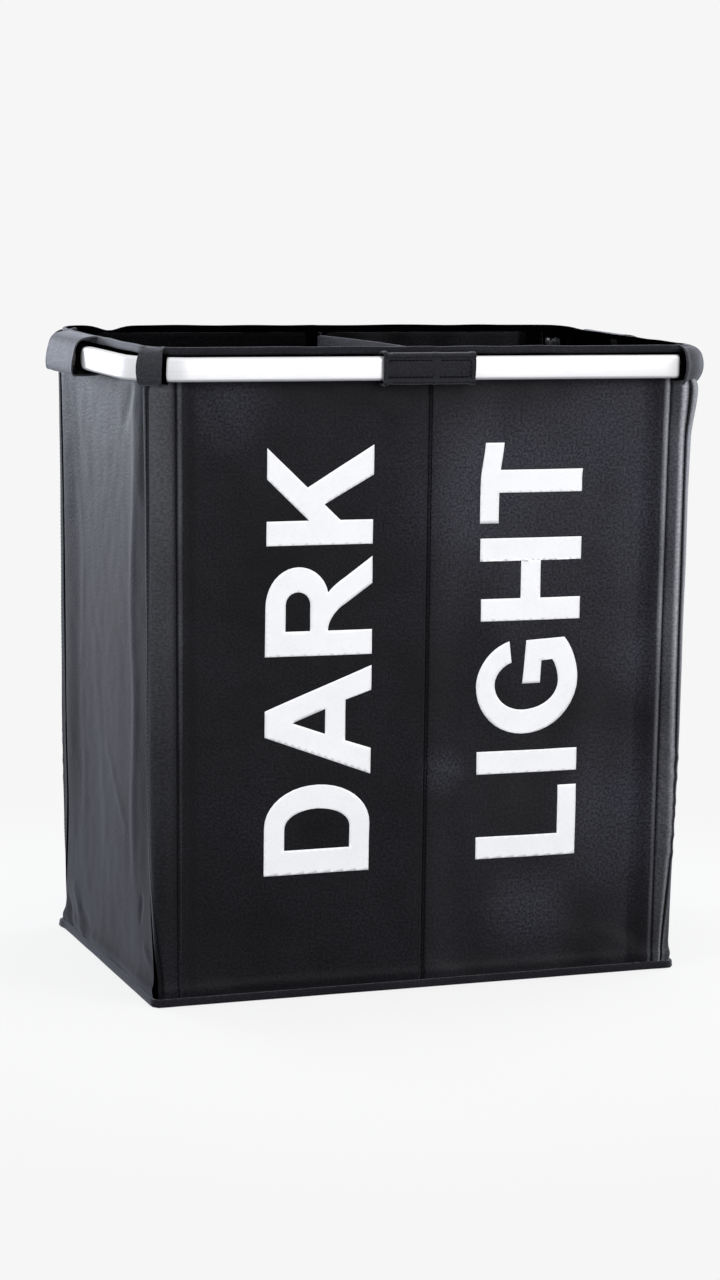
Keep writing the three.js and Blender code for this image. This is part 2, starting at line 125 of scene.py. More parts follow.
class HamperSizes(bpy.types.PropertyGroup):
    """Sizes of the bag, its straps and its tubes."""

    bag_height: length("Bag height", RIM_HIGH.z, "From the floor to the top of the hem")
    base_half_width: length("Base half width", HALF_WIDTH, "Middle to side, at the floor")
    base_half_depth: length("Base half depth", HALF_DEPTH, "Middle to front, at the floor")
    mouth_half_width: length("Mouth half width", RIM_HIGH.x - HEM_PROUD, "Middle to side, at the mouth")
    mouth_half_depth: length("Mouth half depth", RIM_HIGH.y - HEM_PROUD, "Middle to front, at the mouth")
    base_corner: length("Base corner radius", 6 * MM, "Round of the corners at the floor")
    body_corner: length("Body corner radius", 14 * MM, "Round of the corners where the rods push them out")
    mouth_corner: length("Mouth corner radius", 32 * MM, "Round of the corners at the mouth")
    cloth_thickness: length("Cloth thickness", 1.2 * MM, "Thickness of the coated cloth")
    seam_allowance: length("Seam allowance", 6 * MM, "Cloth turned in at a seam")
    hem_height: length("Hem height", RIM_HIGH.z - RIM_LOW.z, "Height of the hem round the mouth")
    binding_height: length("Binding height", BINDING_HIGH.z, "Height of the tape round the base")
    bar_height: length("Bar height", TUBE_HIGH.z - TUBE_LOW.z, "Height of the flat oval tube")
    bar_thickness: length("Bar thickness", 9 * MM, "Thickness of the flat oval tube")
    bar_wall: length("Bar wall", 1.4 * MM, "Wall of the tube")
    bar_edge: length("Bar edge radius", 3 * MM, "Round of the tube's long edges")
    bar_bend: length("Bar bend radius", 49.5 * MM, "Bend of the tube, on its centre line")
    loop_width: length("Loop width", 21 * MM, "Width of the corner loops, on the tube's line")
    wrap_length: length("Wrap length", 105 * MM, "Length of the cloth that wraps a side tube")
    sleeve_length: length("Sleeve length", 90 * MM, "Length of the sleeve over a hinge")
    strap_thickness: length("Strap thickness", 1.4 * MM, "Thickness of the loops, wraps and sleeves")
    stitch_length: length("Stitch length", 3.0 * MM, "Length of one stitch")
    stitch_pitch: length("Stitch pitch", 4.2 * MM, "Distance from one stitch to the next")
    print_lift: length("Print lift", 0.35 * MM, "How far the printed words lie off the cloth")


class HamperColours(bpy.types.PropertyGroup):
    """Colours of the cloth, the tubes and the stage."""

    cloth: colour("Cloth", "#17171c", "Coated black cloth of the bag")
    # The colour of the palest painted highlight, which the cloth takes where the lamps catch it.
    painted_light: colour("Painted highlight", "#b9bac1", "Where the coating of the cloth is rubbed palest")
    inside: colour("Inside", "#0b0b0d", "Coated inner face of the cloth")
    tape: colour("Tape", "#1d1d24", "Hem, binding, loops and sleeves")
    # Lighter than the hem's tape: partly its own grey and partly painted light from the left lamps.
    ribbed: colour("Ribbed tape", "#424249", "Ribbed tape along the divider")
    words: colour("Words", "#fbfbfd", "Printed sorting words")
    thread: colour("Thread", "#060608", "Sewing thread")
    tube: colour("Tube", "#eeeef0", "Satin tube of the handles")
    plastic: colour("Plastic", "#17171a", "Hinge links, plugs and caps")
    steel: colour("Steel", "#9a9da3", "Rivets and corner rods")
    board: colour("Board", "#38373b", "Boards in the base")
    backdrop: colour("Backdrop", "#f6f6f6", "Floor and surroundings")


# Small helpers

def mix(a, b, share):
    """The value at a share of the way from a to b."""
    return a + (b - a) * share


def smooth(share):
    """A soft step from 0 to 1 as the share goes from 0 to 1."""
    share = min(max(share, 0.0), 1.0)
    return share * share * (3 - 2 * share)


def bell(distance, width):
    """1 at no distance, falling softly on both sides."""
    return math.exp(-((distance / width) ** 2))


def clear_selection():
    if bpy.context.object and bpy.context.object.mode != "OBJECT":
        bpy.ops.object.mode_set(mode="OBJECT")
    bpy.ops.object.select_all(action="DESELECT")


def make_active(obj):
    clear_selection()
    bpy.context.view_layer.objects.active = obj
    obj.select_set(True)
    return obj


def add_materials(obj, materials):
    """Gives a piece its materials, unless it has them already."""
    if not obj.data.materials:
        for material in materials:
            obj.data.materials.append(material)


def finish_piece(obj, body, materials, replaced=()):
    """Gives a finished piece its materials and its body, and hides the nodes it stands for."""
    add_materials(obj, materials)
    if body:
        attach(obj, body)
    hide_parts(*replaced)
    return obj


def apply_solidify(obj, thickness, offset, finishes=()):
    """Turns a single surface into a sheet of that thickness. Its inner face takes the next finish."""
    add_materials(obj, finishes)
    make_active(obj)
    solid = obj.modifiers.new("Thickness", "SOLIDIFY")
    solid.thickness = thickness
    solid.offset = offset
    solid.material_offset = 1 if len(finishes) > 1 else 0
    solid.use_quality_normals = True
    bpy.ops.object.modifier_apply(modifier=solid.name)
    return obj


def mesh_from_rows(name, rows, flat_rows=None, close_rows=False, close_ends=False, tones=None):
    """A surface through rows of points. Each row may close on itself, and the last row on the first.
    flat_rows holds the same points laid flat, which become the UV map. tones holds each point's
    share of painted light, from -1, the darkest painted shade in a seam, to 1, the palest painted
    highlight."""
    count = len(rows[0])
    points = [p for row in rows for p in row]
    faces = []
    for r in range(len(rows) if close_ends else len(rows) - 1):
        low = r * count
        high = ((r + 1) % len(rows)) * count
        for c in range(count if close_rows else count - 1):
            d = (c + 1) % count
            faces.append((low + c, low + d, high + d, high + c))
    mesh = bpy.data.meshes.new(name)
    mesh.from_pydata([tuple(p) for p in points], [], faces)
    mesh.update()
    layer = mesh.uv_layers.new(name="Cloth")
    flat = [p for row in (flat_rows or rows) for p in row]
    for loop in mesh.loops:
        layer.data[loop.index].uv = (flat[loop.vertex_index][0], flat[loop.vertex_index][1])
    if tones:
        painted_light = mesh.attributes.new("tone", "FLOAT", "POINT")
        painted_light.data.foreach_set("value", [t for row in tones for t in row])
    mesh.shade_smooth()
    obj = bpy.data.objects.new(name, mesh)
    bpy.context.scene.collection.objects.link(obj)
    return obj


def give_slot(obj, slot, below):
    """Gives a finish slot to the faces whose painted light lies below a value, deep in painted shade."""
    painted_light = obj.data.attributes["tone"].data
    for face in obj.data.polygons:
        shares = [painted_light[v].value for v in face.vertices]
        if sum(shares) / len(shares) < below:
            face.material_index = slot


def even(low, high, count):
    """Evenly spaced values from low to high, both of them included."""
    return [mix(low, high, i / count) for i in range(count + 1)]


def spaced(low, high, step):
    """Evenly spaced values from low to high, about a step apart."""
    return even(low, high, max(1, round((high - low) / step)))


def soft_line(points, step):
    """A smooth line through a few chosen points, with a point about every step."""
    ends = [2 * points[0] - points[1], *points, 2 * points[-1] - points[-2]]
    line = []
    for i in range(1, len(ends) - 2):
        a, b, c, d = ends[i - 1:i + 3]
        count = max(2, round((c - b).length / step))
        for k in range(count):
            t = k / count
            bend = 2 * a - 5 * b + 4 * c - d
            twist = 3 * b - a - 3 * c + d
            line.append(0.5 * (2 * b + (c - a) * t + bend * t ** 2 + twist * t ** 3))
    return [*line, points[-1]]


# The bag's shape

FLARE_CUBIC_SHARE = 0.67
CORNER_POWER = 0.5
NECK_LOW = 561 * MM
NECK_HIGH = 592 * MM

# The corner seam and the channel of a corner rod, which ends at a second row of stitches
SEAM_ALONG_HIGH = 137 * MM
SEAM_ALONG_LOW = 160 * MM
SEAM_TURN_HEIGHT = 150 * MM
SEAM_DEPTH = 2.0 * MM
SEAM_WIDTH = 1.5 * MM
SEAM_GAP = 0.75 * MM
SEAM_FOLD = 0.15 * MM
BAND_X_LOW = 238.5 * MM
BAND_X_HIGH = 244 * MM
BAND_SEAM_DEPTH = 1.0 * MM
CHANNEL_RISE = 5.0 * MM
CHANNEL_LEAST_RISE = 0.6 * MM
CHANNEL_ROUND_POWER = 0.7
CHANNEL_FULL_HEIGHT = 250 * MM
REAR_RAMP = 46 * MM
LEFT_THREAD_SHARE = 0.34
RIGHT_THREAD_LOW_SHARE = 0.56
RIGHT_THREAD_HIGH_SHARE = 0.63
RIGHT_THREAD_TURN_HEIGHT = 300 * MM

# The front and rear faces
FACE_EDGE_RISE = 1.3 * MM
FACE_EDGE_PLACE = 5 * MM
FACE_EDGE_WIDTH = 4.5 * MM
FACE_EDGE_HEIGHT = 100 * MM
FACE_RECESS = 2.2 * MM
FACE_RECESS_START = 8 * MM
FACE_RECESS_RAMP = 20 * MM
FACE_RECESS_MIDDLE_RAMP = 50 * MM
FOLD_FADE = 10 * MM
CALM_EDGE = 20 * MM

# The long soft ridge of a side face
RIDGE_ALONG_TOP = 107 * MM
RIDGE_ALONG_LOW = 88 * MM
RIDGE_BEND_HEIGHT = 400 * MM
RIDGE_BEND_REACH = 160 * MM
RIDGE_SWAY = 3 * MM
RIDGE_SWAY_RATE = 31
RIDGE_FOOT_SHIFT = 10 * MM
RIDGE_FOOT_HEIGHT = 150 * MM
RIDGE_START = 60 * MM
RIDGE_RAMP = 120 * MM
RIDGE_RISES = {-1: 1.4 * MM, 1: 0.5 * MM}
RIDGE_WIDTH = 8 * MM
RIDGE_FALL = 3.0 * MM

# The foot with its ears, and the mouth
FLARE_HEIGHT = 28 * MM
SIDE_FLARE = 2.6 * MM
FRONT_FLARE = 1.0 * MM
EAR_REACH = 3.0 * MM
EAR_WIDTH = 12 * MM
MOUTH_EAR = 4.8 * MM
MOUTH_EAR_WIDTH = 18 * MM
FRONT_EAR_LOW = 512 * MM
FRONT_EAR_RISE = 48 * MM
FOOT_ROLL_RISE = 1.0 * MM
FOOT_ROLL_HEIGHT = 15 * MM
FOOT_ROLL_WIDTH = 4 * MM
FOOT_GROOVE_DEPTH = 0.9 * MM
FOOT_GROOVE_HEIGHT = 7.5 * MM
FOOT_GROOVE_WIDTH = 2.5 * MM
HEM_SINK = 0.9 * MM
HEM_SINK_RAMP = 12 * MM


class Ripple:
    """Waves in the cloth: how high they are, how close they lie across and up the cloth, as turns
    to a metre, and a number that picks which waves they are."""

    def __init__(self, rise, across_rate, up_rate, pick):
        self.rise = rise
        self.across_rate = across_rate
        self.up_rate = up_rate
        self.pick = pick

    def height(self, across, up, way=1):
        place = Vector((across * self.across_rate, up * self.up_rate, self.pick * way))
        return self.rise * noise.noise(place)


def rippled(ripples, across, up, way=1):
    return sum(ripple.height(across, up, way) for ripple in ripples)


CHANNEL_RIPPLE = Ripple(0.45 * MM, 60, 14, 1.0)
FACE_RIPPLES = (Ripple(2.0 * MM, 11, 8, 5.2), Ripple(0.7 * MM, 30, 24, 1.7), Ripple(0.3 * MM, 75, 60, 6.7))
SIDE_RIPPLES = (Ripple(0.06 * MM, 40, 9, 3), Ripple(0.35 * MM, 60, 45, 5), Ripple(1.5 * MM, 12, 8, 7))


class Crease:
    """A raised or sunk line in a face of the cloth, from one place to another on that face. A place
    is (across, height), and the width is how far the line's slopes reach. All are in millimetres."""

    OVERRUN_SHARE = 0.5

    def __init__(self, start, end, width, rise):
        self.start = Vector(start) * MM
        self.run = Vector(end) * MM - self.start
        self.width = width * MM
        self.rise = rise * MM

    def height(self, place):
        share = (place - self.start).dot(self.run) / self.run.length_squared
        if not -self.OVERRUN_SHARE < share < 1 + self.OVERRUN_SHARE:
            return 0.0
        nearest = self.start + self.run * min(max(share, 0.0), 1.0)
        fade = min(1.0, 2 * smooth(1 - abs(share - 0.5)))
        return self.rise * bell((place - nearest).length, self.width) * fade


# The creases of each face, as their two ends, their width and their rise.
CREASES = {
    "left": [
        Crease((-106, 566), (-70, 530), 9, -1.2),
        Crease((-124, 566), (-112, 470), 9, 1.0),
        Crease((96, 566), (60, 470), 12, 0.6),
        Crease((2, 214), (-60, 148), 7, 0.7),
        Crease((40, 300), (10, 120), 12, 0.5),
        Crease((-114, 92), (-110, 70), 4, -1.3),
        Crease((-126, 46), (-150, 34), 4, 1.3),
        Crease((150, 34), (126, 10), 6, -2.4),
        Crease((122, 48), (84, 8), 8, 1.5),
        Crease((96, 34), (60, 14), 7, -1.0),
    ],
    "front": [
        Crease((-2, 211), (42, 197), 4, 0.8),
        Crease((246, 2), (186, 42), 7, 1.3),
        Crease((244, 14), (214, 40), 6, -1.0),
        Crease((8, 22), (56, -2), 8, 1.4),
        Crease((78, 68), (140, 62), 24, 1.5),
        Crease((120, 54), (200, 20), 14, 1.0),
        Crease((-231, 570), (-224, 540), 5, 1.5),
        Crease((-224, 570), (-196, 520), 9, -1.2),
        Crease((-60, 566), (-30, 540), 10, 0.9),
        Crease((226, 566), (206, 500), 9, 1.1),
        Crease((-236, 14), (-190, 6), 6, 1.0),
    ],
    "right": [
        Crease((106, 566), (70, 500), 7, 1.6),
        Crease((-118, 566), (-84, 470), 8, 1.4),
        Crease((-10, 240), (50, 150), 5, 1.1),
        Crease((-150, 30), (-112, 10), 7, -1.8),
        Crease((120, 44), (80, 10), 8, 1.4),
    ],
    "rear": [
        Crease((231, 570), (222, 520), 6, 1.4),
        Crease((-228, 566), (-190, 500), 9, 1.2),
        Crease((-4, 250), (-60, 226), 5, 0.9),
        Crease((-244, 6), (-190, 44), 8, 1.3),
        Crease((244, 8), (200, 34), 7, 1.2),
        Crease((60, 100), (150, 84), 26, 1.5),
    ],
}
# Short wrinkles across two of the rod channels, one above the other, in millimetres.
WRINKLE_HEIGHTS = [118, 139, 156, 171, 192, 214]
WRINKLE_LEANS = [6, 9]
WRINKLE_X_LOW = 241
WRINKLE_X_HIGH = 258
WRINKLE_WIDTH = 4
REAR_WRINKLE_LIFT = 40


def add_wrinkles():
    """Adds the short wrinkles to the front's and the rear's creases."""
    for i, level in enumerate(WRINKLE_HEIGHTS):
        lean = WRINKLE_LEANS[i % 2]
        for face, way, lift, rise in (("front", 1, 0, 1.0), ("rear", -1, REAR_WRINKLE_LIFT, 0.8)):
            inner = (way * WRINKLE_X_LOW, level + lift + lean)
            outer = (way * WRINKLE_X_HIGH, level + lift - lean)
            CREASES[face].append(Crease(inner, outer, WRINKLE_WIDTH, rise))


add_wrinkles()

# Shares of painted light: above 0 a painted highlight, below 0 painted shade, with faint random
# blotches. A pair holds the share at the foot of the bag and the one at its top.
PAINTED_LIGHT_START = 80 * MM
PAINTED_LIGHT_RAMP = 470 * MM
CLOUD = Ripple(1.0, 22, 16, 9.0)
STRIPE_CLOUD_SHARE = 0.5
SEAM_SHADE_WIDTH = 1.9 * MM
BAND_SEAM_SHADES = {-1: 0.32, 1: 0.15}
BAND_SEAM_SHADE_WIDTH = 1.1 * MM
MIDDLE_SEAM_SHADE = 0.32
MIDDLE_SEAM_SHADE_WIDTH = 1.8 * MM
SIDE_CLOUD_WEAR = 0.018
SIDE_FOOT_SHADE = 0.25
SIDE_FOOT_SHADE_HEIGHT = 360 * MM
RIDGE_SHADES = (0.44, 0.40)
RIDGE_SHADE_START = 200 * MM
RIDGE_SHADE_RAMP = 300 * MM
RIDGE_SHADE_FADE = 12 * MM
LEFT_CHANNEL_HIGHLIGHT = (0.01, 0.17)
LEFT_CHANNEL_HIGHLIGHT_SHARES = (1.25, 0.5)
LEFT_CHANNEL_SHADES = (0.62, 0.5)
LEFT_CHANNEL_FADE_SHARE = 0.08
CHANNEL_EDGE_FADE_RATE = 6
OUTER_STRIPE_HIGHLIGHT = (0.35, 1.0)
OUTER_STRIPE_SHARE = 0.075
OUTER_STRIPE_WIDTH_SHARE = 0.05
INNER_STRIPE_HIGHLIGHT = (0.12, 0.5)
INNER_STRIPE_SHARE = 0.11
INNER_STRIPE_WIDTH_SHARE = 0.06
RIGHT_CHANNEL_HIGHLIGHT = 0.085
RIGHT_CHANNEL_CLOUD = 0.06
THREAD_SHADE = 0.9
THREAD_SHADE_WIDTH_SHARE = 0.03
# The painted highlight streak beside each channel: its place past the channel, width and strength.
HIGHLIGHT_STREAKS = {-1: (3.0 * MM, 3.0 * MM, 0.17), 1: (3.4 * MM, 2.2 * MM, 0.66)}
STREAK_SHARES = (0.2, 1.0)
STREAK_SHADE = 0.35
STREAK_SHADE_PLACE = 14 * MM
STREAK_SHADE_WIDTH = 6 * MM
FRONT_PAINTED_LIGHT = 0.014
LEFT_FRONT_PAINTED_LIGHT_SHARE = 0.1
FRONT_PAINTED_LIGHT_START = -20 * MM
FRONT_PAINTED_LIGHT_RAMP = 60 * MM
FRONT_PAINTED_LIGHT_EDGE = 30 * MM
SHEEN_STREAK_SHARE = 1.1
SHEEN_STREAK_RIPPLES = (Ripple(1.0, 26, 5, 3.0), Ripple(0.6, 9, 9, 8.0))


def neck(z):
    """0 on the body of the bag and 1 at its mouth, where the tubes round the corners off."""
    return smooth((z - NECK_LOW) / (NECK_HIGH - NECK_LOW))


class BagShape:
    """Where the cloth of the bag lies."""

    def __init__(self, sizes):
        self.sizes = sizes

    def section(self, z):
        """Half width, half depth and corner radius of the bag at a height."""
        s = self.sizes
        share = min(max(z / s.bag_height, 0.0), 1.0)
        flare = mix(share, share ** 3, FLARE_CUBIC_SHARE)
        corner = mix(s.base_corner, s.body_corner, share ** CORNER_POWER)
        return (
            mix(s.base_half_width, s.mouth_half_width, flare),
            mix(s.base_half_depth, s.mouth_half_depth, share),
            mix(corner, s.mouth_corner, neck(z)),
        )

    def quarter(self, z):
        """Distance round the bag from a side's middle to the front or rear middle."""
        width, depth, radius = self.section(z)
        return (depth - radius) + radius * math.pi / 2 + (width - radius)

    def seam(self, z):
        """Where the corner seam lies, along the bag."""
        return mix(SEAM_ALONG_LOW, SEAM_ALONG_HIGH, smooth(z / SEAM_TURN_HEIGHT))

    def band_end(self, z):
        """Where the second row of stitches closes the channel of a corner rod, along the bag."""
        return self.quarter(z) - mix(BAND_X_LOW, BAND_X_HIGH, z / self.sizes.bag_height)

    def base_point(self, z, along, side, end):
        """A point of the plain outline and its outward direction."""
        width, depth, radius = self.section(z)
        if along <= depth - radius:
            return Vector((side * width, end * along, z)), Vector((side, 0, 0))
        angle = (along - (depth - radius)) / radius
        if angle < math.pi / 2:
            out = Vector((side * math.cos(angle), end * math.sin(angle), 0))
            centre = Vector((side * (width - radius), end * (depth - radius), z))
            return centre + out * radius, out
        x = self.quarter(z) - along
        return Vector((side * x, end * depth, z)), Vector((0, end, 0))

    def relief(self, z, along, side, end):
        """How far the cloth stands off the plain outline: seams, channels, folds and waves."""
        seam, band_end = self.seam(z), self.band_end(z)
        middle = self.quarter(z) - along
        face = "front" if end < 0 else "rear"
        out = -SEAM_DEPTH * (bell(along - seam, SEAM_WIDTH) + bell(middle, SEAM_WIDTH))
        out -= BAND_SEAM_DEPTH * bell(along - band_end, SEAM_WIDTH)
        out += self.swell(z, along, end) + self.flare(z, along, side, end)
        if along < seam:
            out += self.side_relief(z, along, side, end, seam)
        elif along < band_end:
            out += CHANNEL_RIPPLE.height(along, z, side + 3 * end)
            out += self.folds(z, side * middle, face, 1.0)
        else:
            past = along - band_end
            out += self.face_relief(z, past, middle, side, end)
            out += self.folds(z, side * middle, face, smooth(past / FOLD_FADE))
        out += FOOT_ROLL_RISE * bell(z - FOOT_ROLL_HEIGHT, FOOT_ROLL_WIDTH)
        out -= FOOT_GROOVE_DEPTH * bell(z - FOOT_GROOVE_HEIGHT, FOOT_GROOVE_WIDTH)
        hem_low = self.sizes.bag_height - self.sizes.hem_height
        return out - HEM_SINK * smooth((z - hem_low + HEM_SINK_RAMP) / HEM_SINK_RAMP)

    def swell(self, z, along, end):
        """How far the channel of a corner rod pushes the corner out. Behind, the side leans out
        towards it over a longer way."""
        seam, band_end = self.seam(z), self.band_end(z)
        rise = CHANNEL_RISE * smooth(z / CHANNEL_FULL_HEIGHT) * (1 - neck(z))
        share = (along - seam) / (band_end - seam)
        if share >= 1:
            return 0.0
        if end > 0 and share < 0.5:
            return rise * smooth((along - seam + REAR_RAMP) / REAR_RAMP)
        if share <= 0:
            return 0.0
        return (CHANNEL_LEAST_RISE + rise) * math.sin(math.pi * share) ** CHANNEL_ROUND_POWER

    def flare(self, z, along, side, end):
        """How far the foot of the cloth spreads, with a small ear at one rear corner, and how far
        the mouth's ears reach."""
        _, out = self.base_point(z, along, side, end)
        spread = SIDE_FLARE * abs(out.x) + FRONT_FLARE * abs(out.y)
        if side < 0 < end:
            spread += EAR_REACH * bell(along - self.sizes.base_half_depth, EAR_WIDTH)
        spread *= 1 - smooth(z / FLARE_HEIGHT)
        if side * end < 0:
            _, depth, radius = self.section(z)
            corner = depth - radius + radius * math.pi / 4
            rise = neck(z) if side < 0 else smooth((z - FRONT_EAR_LOW) / FRONT_EAR_RISE)
            spread += MOUTH_EAR * rise * bell(along - corner, MOUTH_EAR_WIDTH)
        return spread

    def side_relief(self, z, along, side, end, seam):
        """The waves and the long soft ridge of a side face."""
        y = end * along
        calm = smooth((seam - along) / CALM_EDGE)
        height = smooth((z - RIDGE_START) / RIDGE_RAMP) * (1 - neck(z))
        ridge = self.ridge(z)
        relief = RIDGE_RISES[end] * height * bell(along - ridge, RIDGE_WIDTH)
        if along > ridge and end < 0:
            relief -= RIDGE_FALL * smooth((along - ridge) / (seam - ridge)) * height
        relief += rippled(SIDE_RIPPLES, y, z, side) * calm
        return relief + self.folds(z, y, "left" if side < 0 else "right", calm)

    def face_relief(self, z, past, middle, side, end):
        """The raised edge, the shallow middle and the waves of a front or rear face, by the way
        past the channel and the way to the middle seam."""
        calm = smooth(past / CALM_EDGE) * smooth(middle / CALM_EDGE)
        relief = FACE_EDGE_RISE * bell(past - FACE_EDGE_PLACE, FACE_EDGE_WIDTH)
        relief *= smooth(z / FACE_EDGE_HEIGHT)
        recess = smooth((past - FACE_RECESS_START) / FACE_RECESS_RAMP)
        relief -= FACE_RECESS * recess * smooth(middle / FACE_RECESS_MIDDLE_RAMP)
        return relief + rippled(FACE_RIPPLES, side * middle, z, end) * calm

    def ridge(self, z):
        """Where the long soft ridge of a side face lies, along the bag."""
        place = mix(RIDGE_ALONG_LOW, RIDGE_ALONG_TOP, smooth((z - RIDGE_BEND_HEIGHT) / RIDGE_BEND_REACH))
        place += RIDGE_SWAY * math.sin(z * RIDGE_SWAY_RATE)
        return place + RIDGE_FOOT_SHIFT * (1 - smooth(z / RIDGE_FOOT_HEIGHT))

    def thread_line(self, z, side):
        """Where the stitches of a corner run, as a share of the way across the channel."""
        if side < 0:
            return LEFT_THREAD_SHARE
        return mix(RIGHT_THREAD_LOW_SHARE, RIGHT_THREAD_HIGH_SHARE, smooth(z / RIGHT_THREAD_TURN_HEIGHT))

    def tone(self, z, along, side, end):
        """Painted light on the cloth: below 0 painted shade of seams, ridge and foot, above 0 painted
        highlight.
        """
        seam, band_end = self.seam(z), self.band_end(z)
        middle = self.quarter(z) - along
        tone = -bell(along - seam, SEAM_SHADE_WIDTH)
        tone -= BAND_SEAM_SHADES[side] * bell(along - band_end, BAND_SEAM_SHADE_WIDTH)
        tone -= MIDDLE_SEAM_SHADE * bell(middle, MIDDLE_SEAM_SHADE_WIDTH)
        # Painted light changes from the foot to the top, with the highlights strongest at the top.
        high = smooth((z - PAINTED_LIGHT_START) / PAINTED_LIGHT_RAMP)
        cloud = CLOUD.height(along * end, z, side)
        if along < seam:
            tone += self.side_tone(z, along, side, end, cloud)
        elif along < band_end:
            tone += self.channel_tone(z, (along - seam) / (band_end - seam), side, high, cloud)
        else:
            tone += self.face_tone(z, along - band_end, side * middle, side, high, cloud)
        return min(max(tone, -1.0), 1.0)

    def side_tone(self, z, along, side, end, cloud):
        """The shade at a side's foot, and in front of its ridge."""
        tone = SIDE_CLOUD_WEAR * cloud
        if side < 0:
            tone -= SIDE_FOOT_SHADE * (1 - smooth(z / SIDE_FOOT_SHADE_HEIGHT))
        if end < 0:
            depth = mix(*RIDGE_SHADES, smooth((z - RIDGE_SHADE_START) / RIDGE_SHADE_RAMP))
            tone -= depth * smooth((along - self.ridge(z)) / RIDGE_SHADE_FADE) * (1 - neck(z))
        return tone

    def channel_tone(self, z, share, side, high, cloud):
        """Painted highlight stripes beside the stitches of a rod channel, and painted shade at the
        stitches.
        """
        past = share - self.thread_line(z, side)
        if side < 0:
            outer = smooth(past / LEFT_CHANNEL_FADE_SHARE)
            pale = mix(*LEFT_CHANNEL_HIGHLIGHT, high) * (1 + STRIPE_CLOUD_SHARE * cloud)
            pale *= mix(*LEFT_CHANNEL_HIGHLIGHT_SHARES, share) * smooth(CHANNEL_EDGE_FADE_RATE * (1 - share))
            return pale * outer - mix(*LEFT_CHANNEL_SHADES, high) * (1 - outer)
        tone = mix(*OUTER_STRIPE_HIGHLIGHT, high) * bell(past - OUTER_STRIPE_SHARE, OUTER_STRIPE_WIDTH_SHARE)
        tone += mix(*INNER_STRIPE_HIGHLIGHT, high) * bell(past + INNER_STRIPE_SHARE, INNER_STRIPE_WIDTH_SHARE)
        tone += RIGHT_CHANNEL_HIGHLIGHT + RIGHT_CHANNEL_CLOUD * cloud
        return tone - THREAD_SHADE * bell(past, THREAD_SHADE_WIDTH_SHARE)

    def face_tone(self, z, past, x, side, high, cloud):
        """The painted highlight streak beside a rod channel with painted shade past it, and painted sheen
        on the faces, brighter towards the right and laid in streaks.
        """
        place, width, painted_light_and_wear = HIGHLIGHT_STREAKS[side]
        streak = mix(*STREAK_SHARES, high) * painted_light_and_wear * (1 + STRIPE_CLOUD_SHARE * cloud)
        tone = streak * bell(past - place, width)
        tone -= STREAK_SHADE * bell(past - STREAK_SHADE_PLACE, STREAK_SHADE_WIDTH)
        streaked_sheen = 1 + SHEEN_STREAK_SHARE * rippled(SHEEN_STREAK_RIPPLES, x, z)
        painted_light_and_wear = FRONT_PAINTED_LIGHT * (smooth((x - FRONT_PAINTED_LIGHT_START) / FRONT_PAINTED_LIGHT_RAMP) + LEFT_FRONT_PAINTED_LIGHT_SHARE)
        return tone + painted_light_and_wear * streaked_sheen * smooth(past / FRONT_PAINTED_LIGHT_EDGE)

    def folds(self, z, across, face, share):
        """How far the creases of a face raise or sink the cloth at a place."""
        place = Vector((across, z))
        return share * sum(crease.height(place) for crease in CREASES[face])

    def cloth_point(self, z, along, side, end, lift=0.0):
        """A point on the outer face of the cloth, or lifted off it, and the outward direction."""
        point, out = self.base_point(z, along, side, end)
        return point + out * (self.relief(z, along, side, end) + lift), out

    def front_point(self, x, z, lift):
        """A point on the front face's cloth, by its place across the face."""
        side = 1 if x >= 0 else -1
        return self.cloth_point(z, self.quarter(z) - abs(x), side, ENDS["front"], lift)[0]

    def round_outline(self, z, step):
        """Places right round the bag at a height, as (along, side, end), anticlockwise from above."""
        quarter = self.quarter(z)
        places = spaced(0, quarter, step)
        first = [(a, 1, 1) for a in places]
        second = [(a, -1, 1) for a in reversed(places[:-1])]
        third = [(a, -1, -1) for a in places[1:]]
        fourth = [(a, 1, -1) for a in reversed(places[1:-1])]
        return first + second + third + fourth


# Shader node groups and materials

def new_group(name, inputs, outputs):
    """An empty shader node group with its inputs and outputs, and its two end nodes."""
    group = bpy.data.node_groups.new(name, "ShaderNodeTree")
    for label, kind, value in inputs:
        socket = group.interface.new_socket(label, in_out="INPUT", socket_type=kind)
        if value is not None:
            socket.default_value = value
    for label, kind in outputs:
        group.interface.new_socket(label, in_out="OUTPUT", socket_type=kind)
    start = group.nodes.new("NodeGroupInput")
    finish = group.nodes.new("NodeGroupOutput")
    return group, start, finish


# The places of the colour sockets on a mix node.
MIX_FIRST, MIX_SECOND, MIX_RESULT = 6, 7, 2


def add_node(tree, kind, inputs, **settings):
    """A new shader node. Its inputs are given as values, or as sockets to link."""
    node = tree.nodes.new("ShaderNode" + kind)
    for name, value in settings.items():
        setattr(node, name, value)
    for key, value in inputs.items():
        if isinstance(value, bpy.types.NodeSocket):
            tree.links.new(value, node.inputs[key])
        else:
            node.inputs[key].default_value = value
    return node


def math_node(tree, operation, *values, clamp=False):
    """The result of a sum of numbers and sockets."""
    node = add_node(tree, "Math", dict(enumerate(values)), operation=operation, use_clamp=clamp)
    return node.outputs[0]


def colour_mix(tree, factor, first, second, blend="MIX"):
    """A colour between two others, or their product where the blend is MULTIPLY."""
    inputs = {"Factor": factor, MIX_FIRST: first, MIX_SECOND: second}
    return add_node(tree, "Mix", inputs, data_type="RGBA", blend_type=blend).outputs[MIX_RESULT]


def noise_node(tree, vector, scale, detail, roughness=0.5):
    inputs = {"Vector": vector, "Scale": scale, "Detail": detail, "Roughness": roughness}
    return add_node(tree, "TexNoise", inputs).outputs["Fac"]


